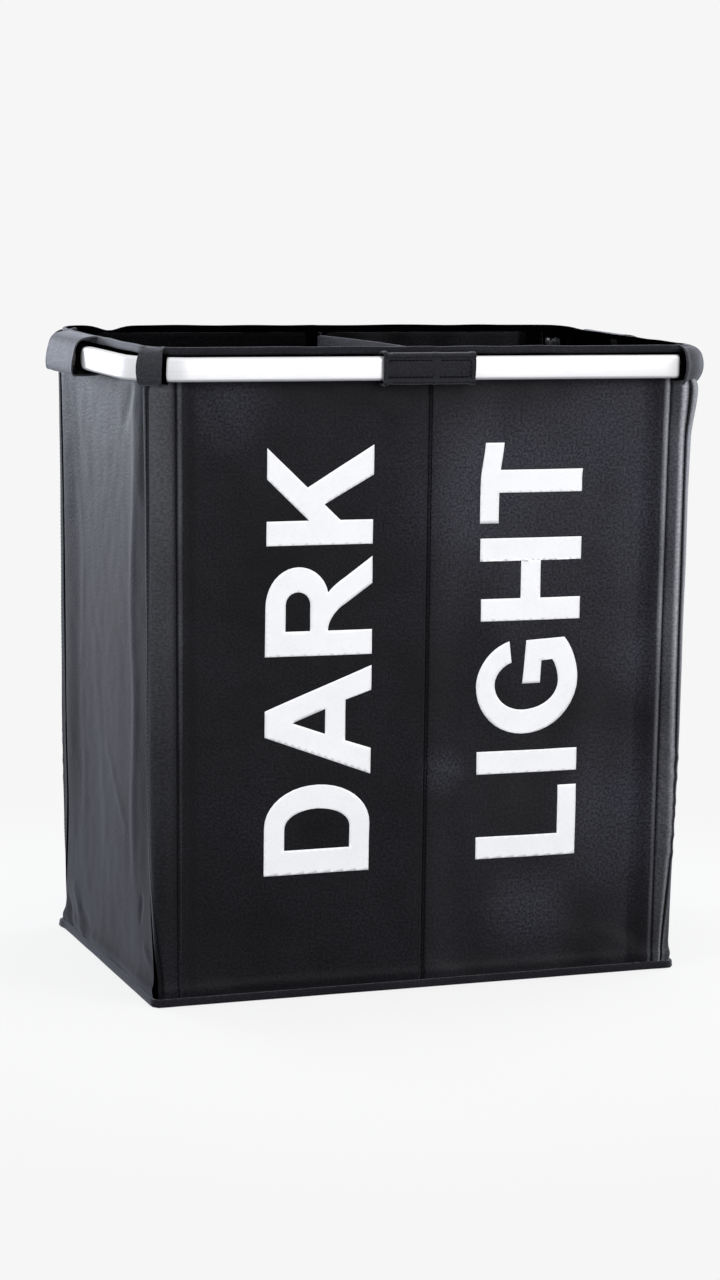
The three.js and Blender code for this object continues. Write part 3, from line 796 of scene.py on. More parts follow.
def weave_group():
    """Crossing threads of a plain weave, from a flat map in metres."""
    group, start, finish = new_group(
        "Plain weave",
        [("Vector", "NodeSocketVector", None), ("Threads per metre", "NodeSocketFloat", 1600.0)],
        [("Height", "NodeSocketFloat"), ("Thread shade", "NodeSocketFloat")],
    )
    split = add_node(group, "SeparateXYZ", {0: start.outputs["Vector"]})
    turn = math_node(group, "MULTIPLY", start.outputs["Threads per metre"], math.pi)
    across = math_node(group, "SINE", math_node(group, "MULTIPLY", split.outputs["X"], turn))
    upward = math_node(group, "SINE", math_node(group, "MULTIPLY", split.outputs["Y"], turn))
    crossing = math_node(group, "MULTIPLY", across, upward)
    warp = math_node(group, "ABSOLUTE", across)
    weft = math_node(group, "ABSOLUTE", upward)
    over = math_node(group, "MULTIPLY_ADD", crossing, 0.5, 0.5)
    height = add_node(group, "Mix", {"Factor": over, "A": warp, "B": weft})
    slubs = noise_node(group, start.outputs["Vector"], scale=420.0, detail=3.0, roughness=0.6)
    group.links.new(height.outputs["Result"], finish.inputs["Height"])
    group.links.new(slubs, finish.inputs["Thread shade"])
    return group


def mottle_group():
    """Slow and fine changes of tone, as on cloth that has been folded and handled."""
    group, start, finish = new_group(
        "Handled surface",
        [("Vector", "NodeSocketVector", None), ("Size", "NodeSocketFloat", 9.0),
         ("Fine size", "NodeSocketFloat", 90.0)],
        [("Slow", "NodeSocketFloat"), ("Fine", "NodeSocketFloat")],
    )
    for label, size, detail in (("Slow", "Size", 3.0), ("Fine", "Fine size", 5.0)):
        mottle = noise_node(group, start.outputs["Vector"], start.outputs[size], detail, 0.55)
        group.links.new(mottle, finish.inputs[label])
    return group


def patch_group():
    """A soft round patch, 1 at its middle and 0 at its reach."""
    group, start, finish = new_group(
        "Painted sheen patch",
        [("Vector", "NodeSocketVector", None), ("Place", "NodeSocketVector", None),
         ("Reach", "NodeSocketFloat", 0.1)],
        [("Share", "NodeSocketFloat")],
    )
    ends = {0: start.outputs["Vector"], 1: start.outputs["Place"]}
    distance = add_node(group, "VectorMath", ends, operation="DISTANCE").outputs["Value"]
    inputs = {"Value": distance, "From Max": start.outputs["Reach"], "To Min": 1.0, "To Max": 0.0}
    fade = add_node(group, "MapRange", inputs, interpolation_type="SMOOTHSTEP")
    group.links.new(fade.outputs["Result"], finish.inputs["Share"])
    return group


# Painted sheen on the front, as the place of each soft patch and how far it reaches, in millimetres.
PAINTED_SHEEN_PATCHES = [
    ((170, -156, 420), 190), ((205, -156, 520), 110), ((60, -156, 470), 120), ((215, -156, 150), 120),
    ((-200, -156, 560), 70), ((110, -158, 66), 60), ((20, -156, 204), 34), ((232, -156, 300), 60),
]
WHITE = (1.0, 1.0, 1.0)
SEAM_SHADE = (0.12, 0.12, 0.12)
SHEEN_TINT = (0.86, 0.89, 1.0, 1.0)


class Finish:
    """A material with a Principled shader, and the nodes that feed it."""

    def __init__(self, base, roughness, metallic=0.0, specular=0.5, coordinates="Object"):
        self.material = bpy.data.materials.new("hamper finish")
        self.material.use_nodes = True
        self.tree = self.material.node_tree
        self.shader = self.tree.nodes["Principled BSDF"]
        self.base = base
        self.set("Base Color", (*base, 1.0))
        self.set("Roughness", roughness)
        self.set("Metallic", metallic)
        self.set("Specular IOR Level", specular)
        source = self.tree.nodes.new("ShaderNodeTexCoord")
        self.vector = source.outputs[coordinates]

    def set(self, socket, value):
        self.shader.inputs[socket].default_value = value

    def group(self, group, **values):
        inputs = {label.replace("_", " "): value for label, value in values.items()}
        inputs["Vector"] = self.vector
        return add_node(self.tree, "Group", inputs, node_tree=group).outputs

    def ramp(self, factor, low, high, low_place=0.3, high_place=0.7):
        """Colours or greys between two ends, by a factor."""
        node = self.tree.nodes.new("ShaderNodeValToRGB")
        ends = node.color_ramp.elements
        ends[0].position, ends[1].position = low_place, high_place
        ends[0].color = (*low, 1.0) if len(low) == 3 else low
        ends[1].color = (*high, 1.0) if len(high) == 3 else high
        self.tree.links.new(factor, node.inputs["Fac"])
        return node.outputs["Color"]

    def feed(self, socket, value):
        self.tree.links.new(value, self.shader.inputs[socket])

    def multiply(self, first, second):
        return colour_mix(self.tree, 1.0, first, second, "MULTIPLY")

    def bump(self, height, strength, distance, under=None):
        """A normal bent by a height, over the normal under it."""
        inputs = {"Strength": strength, "Distance": distance, "Height": height}
        if under is not None:
            inputs["Normal"] = under
        return add_node(self.tree, "Bump", inputs).outputs["Normal"]


def shade(base, amount):
    """A colour made lighter or darker by a share."""
    return tuple(min(1.0, max(0.0, c * amount)) for c in base)


def cloth_finish(base, painted_light, groups, roughness, specular, sheen, threads=1600.0, patches=()):
    """Coated woven cloth: threads, slubs, a slow tone, patches of painted sheen, painted light and shade
    from each point's tone, and a soft sheen. Each patch is a (place, reach) painted lighter."""
    f = Finish(base, roughness, specular=specular, coordinates="UV")
    f.set("Sheen Weight", sheen)
    f.set("Sheen Roughness", 0.4)
    f.set("Sheen Tint", SHEEN_TINT)
    weave = f.group(groups["weave"], Threads_per_metre=threads)
    mottle = f.group(groups["mottle"], Size=9.0, Fine_size=420.0)
    tone = f.ramp(mottle["Slow"], shade(base, 0.55), shade(base, 1.6))
    if patches:
        # Painted sheen, lighter in soft patches on the front.
        tone = paint_sheen_patches(f, groups, tone, shade(base, 5.0), mottle["Slow"], patches)
    grain = f.ramp(mottle["Fine"], (0.35, 0.35, 0.37), WHITE, low_place=0.36, high_place=0.62)
    slub = f.ramp(weave["Thread shade"], (0.55, 0.55, 0.57), WHITE, low_place=0.4, high_place=0.6)
    grained = f.multiply(f.multiply(tone, grain), slub)
    # Painted highlight and painted shade, from the painted light each point carries.
    colour_here, dark = apply_painted_light(f, grained, painted_light, slub)
    f.feed("Base Color", colour_here)
    spread = f.ramp(mottle["Fine"], (roughness - 0.14,) * 3, (min(1.0, roughness + 0.10),) * 3)
    dulled = math_node(f.tree, "MULTIPLY", dark, 0.5)
    f.feed("Roughness", math_node(f.tree, "ADD", spread, dulled, clamp=True))
    threads_bump = f.bump(weave["Height"], strength=0.6, distance=0.10 * MM)
    pebbles = noise_node(f.tree, f.vector, scale=300.0, detail=2.0, roughness=0.6)
    pebbled = f.bump(pebbles, strength=0.35, distance=1.0 * MM, under=threads_bump)
    f.feed("Normal", f.bump(mottle["Fine"], strength=0.5, distance=0.7 * MM, under=pebbled))
    return f.material


def apply_painted_light(f, tone, palest, slub):
    """The cloth's colour with painted highlight and painted shade from each point's tone, and the shade's
    share.
    """
    painted_light = add_node(f.tree, "Attribute", {}, attribute_name="tone").outputs["Fac"]
    light = math_node(f.tree, "MAXIMUM", painted_light, 0.0)
    dark = math_node(f.tree, "MAXIMUM", math_node(f.tree, "MULTIPLY", painted_light, -1.0), 0.0)
    painted_highlight = f.ramp(slub, shade(palest, 0.6), palest, low_place=0.4, high_place=1.0)
    paler = colour_mix(f.tree, light, tone, painted_highlight)
    shaded = f.ramp(dark, WHITE, SEAM_SHADE, low_place=0.0, high_place=1.0)
    return f.multiply(paler, shaded), dark


def paint_sheen_patches(f, groups, tone, lighter, blotches, patches):
    """The cloth's colour, painted lighter in soft blotches of sheen round each place."""
    place = f.tree.nodes.new("ShaderNodeTexCoord").outputs["Object"]
    total = None
    for centre, reach in patches:
        inputs = {"Vector": place, "Place": [c * MM for c in centre], "Reach": reach * MM}
        share = add_node(f.tree, "Group", inputs, node_tree=groups["patch"]).outputs["Share"]
        total = math_node(f.tree, "ADD", total, share, clamp=True) if total else share
    blotched = math_node(f.tree, "MULTIPLY", total, math_node(f.tree, "MULTIPLY", blotches, 1.5))
    return colour_mix(f.tree, blotched, tone, (*lighter, 1.0))


def print_finish(base, groups):
    """White ink on cloth, with the threads showing through a little."""
    f = Finish(base, 0.62, specular=0.25)
    weave = f.group(groups["weave"], Threads_per_metre=1600.0)
    mottle = f.group(groups["mottle"], Size=14.0, Fine_size=300.0)
    tone = f.ramp(mottle["Fine"], shade(base, 0.96), base, low_place=0.25, high_place=0.5)
    painted_light_and_wear = f.ramp(weave["Thread shade"], (0.975, 0.975, 0.98), WHITE, high_place=0.45)
    f.feed("Base Color", f.multiply(tone, painted_light_and_wear))
    f.feed("Normal", f.bump(weave["Height"], strength=0.4, distance=0.06 * MM))
    return f.material


def tube_finish(base, groups):
    """Satin anodised tube with fine marks drawn along it and faint handling marks."""
    f = Finish(base, 0.34, metallic=0.6, specular=0.5)
    mottle = f.group(groups["mottle"], Size=5.0, Fine_size=140.0)
    stretch = add_node(f.tree, "Mapping", {"Vector": f.vector, "Scale": (14.0, 14.0, 900.0)})
    lines = noise_node(f.tree, stretch.outputs["Vector"], scale=1.0, detail=2.0)
    tone = f.ramp(mottle["Slow"], shade(base, 0.94), base)
    marks = f.ramp(lines, (0.955, 0.955, 0.96), WHITE, high_place=0.6)
    f.feed("Base Color", f.multiply(tone, marks))
    f.feed("Roughness", f.ramp(mottle["Fine"], (0.30,) * 3, (0.42,) * 3))
    f.feed("Normal", f.bump(lines, strength=0.12, distance=0.03 * MM))
    return f.material


def grained_finish(
    base, groups, roughness, size, fine_size, tones, grain, metallic=0.0, specular=0.5, dulling=None,
):
    """A finish with two shades of its colour in soft patches and a fine grain. The dulling is the
    pattern that changes its roughness, and the roughness at both ends of it."""
    f = Finish(base, roughness, metallic, specular)
    mottle = f.group(groups["mottle"], Size=size, Fine_size=fine_size)
    f.feed("Base Color", f.ramp(mottle["Slow"], shade(base, tones[0]), shade(base, tones[1])))
    if dulling:
        pattern, low, high = dulling
        f.feed("Roughness", f.ramp(mottle[pattern], (low,) * 3, (high,) * 3))
    f.feed("Normal", f.bump(mottle["Fine"], *grain))
    return f.material


def board_finish(base, groups):
    """Dark fibreboard covered in thin cloth."""
    f = Finish(base, 0.85, specular=0.2)
    weave = f.group(groups["weave"], Threads_per_metre=1200.0)
    mottle = f.group(groups["mottle"], Size=12.0, Fine_size=320.0)
    f.feed("Base Color", f.ramp(mottle["Fine"], shade(base, 0.7), shade(base, 1.25)))
    f.feed("Roughness", f.ramp(mottle["Slow"], (0.78,) * 3, (0.92,) * 3))
    f.feed("Normal", f.bump(weave["Height"], strength=0.4, distance=0.08 * MM))
    return f.material


FINISH_NAMES = (
    "cloth", "inside", "shaded", "tape", "ribbed", "words", "thread", "tube", "plastic", "steel", "board",
)


def materials():
    """All the finishes of the object, made once."""
    if "hamper cloth" in bpy.data.materials:
        return {key: bpy.data.materials["hamper " + key] for key in FINISH_NAMES}
    c = bpy.context.scene.hamper_colours
    groups = {"weave": weave_group(), "mottle": mottle_group(), "patch": patch_group()}
    painted_light = tuple(c.painted_light)
    made = {
        "cloth": cloth_finish(
            tuple(c.cloth), painted_light, groups, roughness=0.5, specular=0.115, sheen=0.27, patches=PAINTED_SHEEN_PATCHES,
        ),
        "inside": cloth_finish(tuple(c.inside), painted_light, groups, roughness=0.6, specular=0.015, sheen=0.0),
        # A black finish that reflects nothing, for painted shade in seams and in the tube's shadow on the
        # hem.
        "shaded": cloth_finish(tuple(c.inside), painted_light, groups, roughness=0.8, specular=0.0, sheen=0.0),
        "tape": cloth_finish(
            tuple(c.tape), painted_light, groups, roughness=0.62, specular=0.12, sheen=0.35, threads=1300.0,
        ),
        "ribbed": cloth_finish(
            tuple(c.ribbed), painted_light, groups, roughness=0.62, specular=0.15, sheen=0.4, threads=1300.0,
        ),
        "words": print_finish(tuple(c.words), groups),
        "thread": grained_finish(
            tuple(c.thread), groups, roughness=0.9, size=300.0, fine_size=2400.0, tones=(0.7, 1.7),
            grain=(0.5, 0.05 * MM), specular=0.04,
        ),
        "tube": tube_finish(tuple(c.tube), groups),
        "plastic": grained_finish(
            tuple(c.plastic), groups, roughness=0.5, size=60.0, fine_size=1400.0, tones=(0.85, 1.6),
            grain=(0.4, 0.05 * MM), specular=0.4, dulling=("Slow", 0.42, 0.6),
        ),
        "steel": grained_finish(
            tuple(c.steel), groups, roughness=0.35, size=40.0, fine_size=600.0, tones=(0.75, 1.1),
            grain=(0.15, 0.03 * MM), metallic=1.0, dulling=("Fine", 0.28, 0.5),
        ),
        "board": board_finish(tuple(c.board), groups),
    }
    for key, material in made.items():
        material.name = "hamper " + key
    return made


# The bag's walls

WALL_TUCK = 1.5 * MM
WALL_SHORT = 3.5 * MM
FINE_STEP = 0.9 * MM
FINE_ENDS = 5.5 * FINE_STEP
LOW_ROWS_END = 22 * MM
LOW_ROW_STEP = 2 * MM
ROW_STEP = 4 * MM
BAND_COLUMNS = 18
FACE_COLUMNS = 62
SIDE_COLUMNS = 42
SEAM_SHADED_BELOW = -0.72


def wall_places(shape, z, first_end, last_end):
    """Places across one wall cloth at a height, as (along, end). Both edges of the cloth are seams,
    where the places lie close together."""
    seam = shape.seam(z)
    if first_end is None:
        band = shape.band_end(z)
        quarter = shape.quarter(z)
        fine = [0.0, *(FINE_STEP * k for k in (0.9, 1.6, 2.6, 4))]
        steps = [seam + f for f in (SEAM_GAP, SEAM_GAP + SEAM_FOLD, *fine[2:])]
        steps += even(seam + FINE_ENDS, band - FINE_ENDS, BAND_COLUMNS)
        steps += [band - f for f in reversed(fine)] + [band + f for f in fine[1:]]
        steps += even(band + FINE_ENDS, quarter - FINE_ENDS, FACE_COLUMNS)
        steps += [quarter - f for f in reversed((SEAM_GAP / 2, SEAM_GAP / 2 + SEAM_FOLD, *fine[2:]))]
        return [(a, last_end) for a in steps]
    fine = [SEAM_GAP, SEAM_GAP + SEAM_FOLD, *(FINE_STEP * k for k in (1.6, 2.6, 4))]
    half = even(0.0, seam - FINE_ENDS, SIDE_COLUMNS) + [seam - f for f in reversed(fine)]
    return [(a, first_end) for a in reversed(half)] + [(a, last_end) for a in half[1:]]


def wall_heights(sizes):
    """The heights of a wall's rows, closer together near the floor."""
    low_rows = spaced(WALL_TUCK, LOW_ROWS_END, LOW_ROW_STEP)
    return low_rows + spaced(LOW_ROWS_END, sizes.bag_height - WALL_SHORT, ROW_STEP)[1:]


def turned_in(point, out, depth, across):
    """A point of the seam allowance, which runs inwards from the cloth's edge to the seam line."""
    return point - out * depth - across * (0.4 * SEAM_GAP)


def wall_cloth(name, shape, side, end, finishes):
    """One wall cloth of the bag. A side wall has end None and reaches from the rear corner seam to
    the front one. The others reach from a corner seam to the middle seam."""
    sizes = shape.sizes
    rows, flat_rows, tones = [], [], []
    for z in wall_heights(sizes):
        places = wall_places(shape, z, 1, -1) if end is None else wall_places(shape, z, None, end)
        points = [shape.cloth_point(z, along, side, way) for along, way in places]
        flat = [along * way if end is None else along for along, way in places]
        row = [p for p, _ in points]
        first = turned_in(row[0], points[0][1], sizes.seam_allowance, (row[1] - row[0]).normalized())
        last = turned_in(row[-1], points[-1][1], sizes.seam_allowance, (row[-2] - row[-1]).normalized())
        step = flat[1] - flat[0]
        reach = math.copysign(sizes.seam_allowance, step)
        rows.append([first, *row, last])
        flat_rows.append([(f, z) for f in [flat[0] - reach, *flat, flat[-1] + reach]])
        # Each point's painted light and shade; the turned-in edges carry the deepest painted shade.
        tones.append([-1.0, *(shape.tone(z, along, side, way) for along, way in places), -1.0])
    obj = mesh_from_rows(name, rows, flat_rows, tones=tones)
    face_outwards(obj, Vector((0, 0, sizes.bag_height / 2)))
    # Faces deep in a seam's painted shade take the black finish that reflects nothing.
    give_slot(obj, 2, SEAM_SHADED_BELOW)
    apply_solidify(obj, sizes.cloth_thickness, -1.0, finishes)
    return obj


def face_outwards(obj, inner_point):
    """Turns the faces of an open surface away from a point behind it."""
    mesh = obj.data
    turned = sum((p.center - inner_point).dot(p.normal) * p.area for p in mesh.polygons)
    if turned < 0:
        mesh.flip_normals()


class HAMPER_OT_walls(bpy.types.Operator):
    """Adds the six wall cloths of the bag"""

    bl_idname = "hamper.walls"
    bl_label = "Wall cloths"

    def execute(self, context):
        sizes = context.scene.hamper_sizes
        shape = BagShape(sizes)
        used = materials()
        finishes = [used["cloth"], used["inside"], used["shaded"]]
        middle = sizes.bag_height / 2
        for side_name, side in SIDES.items():
            name = f"side_wall_{side_name}"
            node = f"side_cloth_{side_name}"
            obj = wall_cloth(name, shape, side, None, finishes)
            finish_piece(obj, "bag", finishes, [node])
            wide = 2 * (shape.seam(middle) + sizes.seam_allowance)
            for end_name, end in ENDS.items():
                name = f"{end_name}_wall_{side_name}"
                node = f"{end_name}_cloth_{side_name}"
                obj = wall_cloth(name, shape, side, end, finishes)
                finish_piece(obj, "bag", finishes, [node])
                wide = shape.quarter(middle) - shape.seam(middle) + 2 * sizes.seam_allowance
        return {"FINISHED"}


# Hem, binding and base

# The hem's painted light: painted shadow of the tube, painted highlight on top and shade inside.
HEM_SHADE_HEIGHT = 594.5 * MM
HEM_SHADE_FADE = 1.6 * MM
HEM_PAINTED_HIGHLIGHT = 0.10
HEM_SHADED_BELOW = -0.45
HEM_INNER = -1.2 * MM
HEM_INSIDE = -2.7 * MM
HEM_OUTSIDE = 1.3 * MM
HEM_ROUNDING = 1.6 * MM
HEM_LEVELS = (0.3, 0.6, 0.68, 0.74, 0.8, 0.86)
HEM_INNER_PLACE = 10
HEM_STEP = 5 * MM
HEM_SWAY = 0.9 * MM
HEM_LIFT = 1.6 * MM
HEM_REAR_RISE = 2.2 * MM
HEM_REAR_RISE_START = 100 * MM
HEM_REAR_RISE_RAMP = 60 * MM
HEM_DIP = -5.0 * MM
HEM_DIP_ALONG = 192 * MM
HEM_DIP_WIDTH = 13 * MM
HEM_RIPPLE = Ripple(0.8 * MM, 14, 14, 2.0)
HEM_INSIDE_TONE = -0.8
HEM_RIGHT_HIGHLIGHT_SHARE = 0.6

BINDING_INSIDE = -1.6 * MM
BINDING_LIFT = 0.2 * MM
BINDING_RISE = 0.6 * MM
BINDING_ROUNDING = 1.2 * MM
BINDING_STEP = 4 * MM
BINDING_SWAY = 0.5 * MM

BASE_EDGE_IN = 0.9 * MM
BASE_CORNER_IN = 1.3 * MM
BASE_CORNER_REACH = 8 * MM
BASE_STEP = 8 * MM
BASE_HEIGHT = 0.8 * MM
BASE_SLACK = 0.35 * MM
BASE_THICKNESS = 0.6 * MM
EAR_FADE = 20 * MM
EAR_FROM_REAR = 8 * MM
EAR_FROM_LEFT = 10.5 * MM


def rim_lift(place):
    """How far the hem's top edge rises or dips round the mouth."""
    along, side, end = place
    rise = HEM_LIFT + HEM_RIPPLE.height(side * along, end * along)
    if end > 0:
        rise += HEM_REAR_RISE * smooth((along - HEM_REAR_RISE_START) / HEM_REAR_RISE_RAMP)
        if side < 0:
            rise += HEM_DIP * bell(along - HEM_DIP_ALONG, HEM_DIP_WIDTH)
    return rise


def hem_tone(z, outward, out):
    """The hem carries a painted highlight along the upper edge of the sides, palest on the left, a
    painted shadow of the tube lower down and painted shade of the bag inside."""
    if outward < HEM_INNER:
        return HEM_INSIDE_TONE
    above = (z - HEM_SHADE_HEIGHT) / HEM_SHADE_FADE
    pale = HEM_PAINTED_HIGHLIGHT * abs(out.x) ** 2 * (1.0 if out.x < 0 else HEM_RIGHT_HIGHLIGHT_SHARE)
    return pale * smooth(above) - smooth(-above)


def ring_band(name, shape, height, profile, step, lift=None, sway=0.0, tone=None):
    """A closed band round the bag. The profile is a closed run of (outwards, height) points."""
    rows, flat_rows, tones = [], [], []
    travelled = 0.0
    before = None
    low = min(z for _, z in profile)
    tall = max(z for _, z in profile) - low
    whole = shape.quarter(height)
    for place in shape.round_outline(height, step):
        along, side, end = place
        point, _ = shape.base_point(height, along, side, end)
        travelled += (point - before).length if before else 0.0
        before = point
        swing = sway * noise.noise(Vector((point.x * 16, point.y * 16, height * 9)))
        row, flat, painted_light = [], [], []
        ring = 0.0
        for i, (outward, z) in enumerate(profile):
            there = along * shape.quarter(z) / whole
            point_here, out = shape.base_point(z, there, side, end)
            outward += shape.swell(z, there, end) + shape.flare(z, there, side, end)
            rise = lift(place) * smooth((z - low) / tall) if lift else 0.0
            row.append(point_here + out * (outward + swing) + Vector((0, 0, rise)))
            painted_light.append(tone(z, profile[i][0], out) if tone else 0.0)
            ring += math.dist(profile[i], profile[i - 1]) if i else 0.0
            flat.append((travelled, ring))
        rows.append(row)
        flat_rows.append(flat)
        tones.append(painted_light)
    obj = mesh_from_rows(name, rows, flat_rows, close_rows=True, close_ends=True, tones=tones)
    repair_normals(obj)
    return obj


def repair_normals(obj):
    """Points the faces of a closed shell outwards."""
    work = bmesh.new()
    work.from_mesh(obj.data)
    bmesh.ops.recalc_face_normals(work, faces=work.faces)
    work.to_mesh(obj.data)
    work.free()
    obj.data.shade_smooth()


def rounded_profile(inner, outer, low, high, radius, steps=4):
    """The closed outline of a folded tape, from its two faces, its two edges and their round."""
    centres = [
        (outer - radius, high - radius, 0.0),
        (inner + radius, high - radius, 0.5 * math.pi),
        (inner + radius, low + radius, math.pi),
        (outer - radius, low + radius, 1.5 * math.pi),
    ]
    points = []
    for across, upward, start in centres:
        for i in range(steps + 1):
            angle = start + i / steps * math.pi / 2
            points.append((across + radius * math.cos(angle), upward + radius * math.sin(angle)))
    return points


class HAMPER_OT_hem(bpy.types.Operator):
    """Adds the folded hem round the mouth and the binding round the base"""

    bl_idname = "hamper.hem"
    bl_label = "Hem and base"

    def execute(self, context):
        sizes = context.scene.hamper_sizes
        shape = BagShape(sizes)
        used = materials()
        top = sizes.bag_height
        low = top - sizes.hem_height
        edges = rounded_profile(HEM_INSIDE, HEM_OUTSIDE, low, top, HEM_ROUNDING)
        outer = [(HEM_OUTSIDE, mix(low, top, share)) for share in HEM_LEVELS]
        inner = [(HEM_INSIDE, mix(low, top, share)) for share in reversed(HEM_LEVELS)]
        profile = edges[:HEM_INNER_PLACE] + inner + edges[HEM_INNER_PLACE:] + outer
        hem = ring_band("rim_hem_tape", shape, top, profile, HEM_STEP, rim_lift, HEM_SWAY, hem_tone)
        finish_piece(hem, "bag", [used["tape"], used["shaded"]], ["rim_hem"])
        # The faces in the tube's painted shadow take the black finish that reflects nothing.
        give_slot(hem, 1, HEM_SHADED_BELOW)

        upper = sizes.binding_height + BINDING_RISE
        profile = rounded_profile(BINDING_INSIDE, BINDING_PROUD, BINDING_LIFT, upper, BINDING_ROUNDING)
        tape = ring_band("base_binding_tape", shape, 0.0, profile, BINDING_STEP, sway=BINDING_SWAY)
        finish_piece(tape, "bag", [used["tape"]], ["base_binding"])

        base = base_sheet(shape)
        finish_piece(base, "bag", [used["inside"]], ["base_cloth"])
        return {"FINISHED"}


def base_sheet(shape):
    """The cloth that closes the bag's base and is caught in the binding, with a little slack."""
    sizes = shape.sizes
    reach_x = sizes.base_half_width + SIDE_FLARE - BASE_EDGE_IN
    reach_y = sizes.base_half_depth + FRONT_FLARE - BASE_EDGE_IN
    ear = Vector((-reach_x, reach_y))
    rows, flat_rows = [], []
    for y in spaced(-reach_y, reach_y, BASE_STEP):
        row = []
        for x in spaced(-reach_x, reach_x, BASE_STEP):
            slack = BASE_SLACK * (1 + noise.noise(Vector((x * 18, y * 18, 0.5))))
            near_ear = bell((Vector((x, y)) - ear).length, EAR_WIDTH)
            left, rear = x + reach_x, reach_y - y
            out_left = EAR_REACH * smooth(1 - left / EAR_FADE) * bell(rear - EAR_FROM_REAR, EAR_WIDTH)
            out_rear = EAR_REACH * smooth(1 - rear / EAR_FADE) * bell(left - EAR_FROM_LEFT, EAR_WIDTH)
            corner = BASE_CORNER_IN * smooth((abs(x) - reach_x + BASE_CORNER_REACH) / BASE_CORNER_REACH)
            corner *= smooth((abs(y) - reach_y + BASE_CORNER_REACH) / BASE_CORNER_REACH) * (1 - near_ear)
            x_in, y_in = math.copysign(corner, x), math.copysign(corner, y)
            row.append(Vector((x - out_left - x_in, y + out_rear - y_in, BASE_HEIGHT + slack)))
        rows.append(row)
        flat_rows.append([(p.x, p.y) for p in row])
    obj = mesh_from_rows("base_floor_cloth", rows, flat_rows)
    return apply_solidify(obj, BASE_THICKNESS, 0.0)


# The divider

DIVIDER_LOW = 3.2 * MM
DIVIDER_HEIGHT_STEP = 0.008
DIVIDER_ACROSS_STEP = 0.02
DIVIDER_UNDER_TAPE = 4 * MM
DIVIDER_SIDE_GAP = 3.6 * MM
DIVIDER_SAG = -1.0 * MM
DIVIDER_FRONT_DROP = 2.5 * MM
DIVIDER_REAR_DROP = 6.5 * MM
DIVIDER_RIPPLES = (Ripple(5 * MM, 9, 5, 4.0), Ripple(1.2 * MM, 30, 9, 9.0))
DIVIDER_CALM_SIDES = 0.2
DIVIDER_CALM_FOOT = 0.06
DIVIDER_CALM_TOP = 0.1
DIVIDER_TAPE_HEIGHT = 16 * MM
DIVIDER_TAPE_THICKNESS = 3.4 * MM
DIVIDER_TAPE_GAP = 4.2 * MM
DIVIDER_TAPE_ROUNDING = 1.2 * MM
DIVIDER_TAPE_SWAY = 0.8 * MM
RIB_PITCH = 2.6 * MM
RIB_HEIGHT = 0.28 * MM


class HAMPER_OT_divider(bpy.types.Operator):
    """Adds the cloth that parts the two bins, with its ribbed upper tape"""

    bl_idname = "hamper.divider"
    bl_label = "Divider"

    def execute(self, context):
        sizes = context.scene.hamper_sizes
        shape = BagShape(sizes)
        used = materials()
        rows, flat_rows = [], []
        for z_share in spaced(0.0, 1.0, DIVIDER_HEIGHT_STEP):
            row, flat = [], []
            for y_share in spaced(-1.0, 1.0, DIVIDER_ACROSS_STEP):
                z, y, x = divider_place(shape, z_share, y_share)
                row.append(Vector((x, y, z)))
                flat.append((y, z))
            rows.append(row)
            flat_rows.append(flat)
        cloth = mesh_from_rows("divider_sheet", rows, flat_rows)
        apply_solidify(cloth, sizes.cloth_thickness, 0.0)
        finish_piece(cloth, "bag", [used["cloth"]], ["divider_cloth"])
        tape = divider_tape(shape)
        finish_piece(tape, "bag", [used["ribbed"]], ["divider_hem"])
        flat = (2 * sizes.base_half_depth, sizes.bag_height - DIVIDER_LOW)
        return {"FINISHED"}


def divider_edge(sizes, y_share):
    """Height of the divider's upper edge."""
    drop = mix(DIVIDER_FRONT_DROP, DIVIDER_REAR_DROP, (y_share + 1) / 2)
    return sizes.bag_height - drop - DIVIDER_SAG * (1 - y_share ** 2)


def divider_place(shape, z_share, y_share):
    """Height, depth and sideways wave of a place on the divider. It is calm at its seams."""
    z = mix(DIVIDER_LOW, divider_edge(shape.sizes, y_share) - DIVIDER_UNDER_TAPE, z_share)
    y = y_share * (shape.section(z)[1] - DIVIDER_SIDE_GAP)
    calm = smooth((1 - abs(y_share)) / DIVIDER_CALM_SIDES) * smooth(z_share / DIVIDER_CALM_FOOT)
    top = smooth((z_share - (1 - DIVIDER_CALM_TOP)) / DIVIDER_CALM_TOP)
    return z, y, rippled(DIVIDER_RIPPLES, y, z) * calm * (1 - 0.6 * top)


def divider_tape(shape):
    """The ribbed tape along the divider's upper edge."""
    sizes = shape.sizes
    rows, flat_rows = [], []
    reach = sizes.mouth_half_depth - DIVIDER_TAPE_GAP
    for y in spaced(-reach, reach, RIB_PITCH / 4):
        share = y / reach
        top = divider_edge(sizes, share)
        rib = RIB_HEIGHT * math.cos(2 * math.pi * y / RIB_PITCH)
        half = DIVIDER_TAPE_THICKNESS / 2 + rib
        sway = DIVIDER_TAPE_SWAY * noise.noise(Vector((y * 12, 1.0, 2.0)))
        foot = top - DIVIDER_TAPE_HEIGHT
        profile = rounded_profile(-half, half, foot, top + rib, DIVIDER_TAPE_ROUNDING, steps=3)
        rows.append([Vector((x + sway, y, z)) for x, z in profile])
        flat_rows.append([(y, z) for _, z in profile])
    obj = mesh_from_rows("divider_ribbed_tape", rows, flat_rows, close_rows=True)
    close_open_ends(obj)
    return obj


def close_open_ends(obj):
    """Fills the open ends of a run and points all faces outwards."""
    work = bmesh.new()
    work.from_mesh(obj.data)
    bmesh.ops.holes_fill(work, edges=[e for e in work.edges if e.is_boundary])
    bmesh.ops.recalc_face_normals(work, faces=work.faces)
    work.to_mesh(obj.data)
    work.free()
    obj.data.shade_smooth()
    make_active(obj)
    bpy.ops.object.shade_smooth_by_angle(angle=math.radians(50))


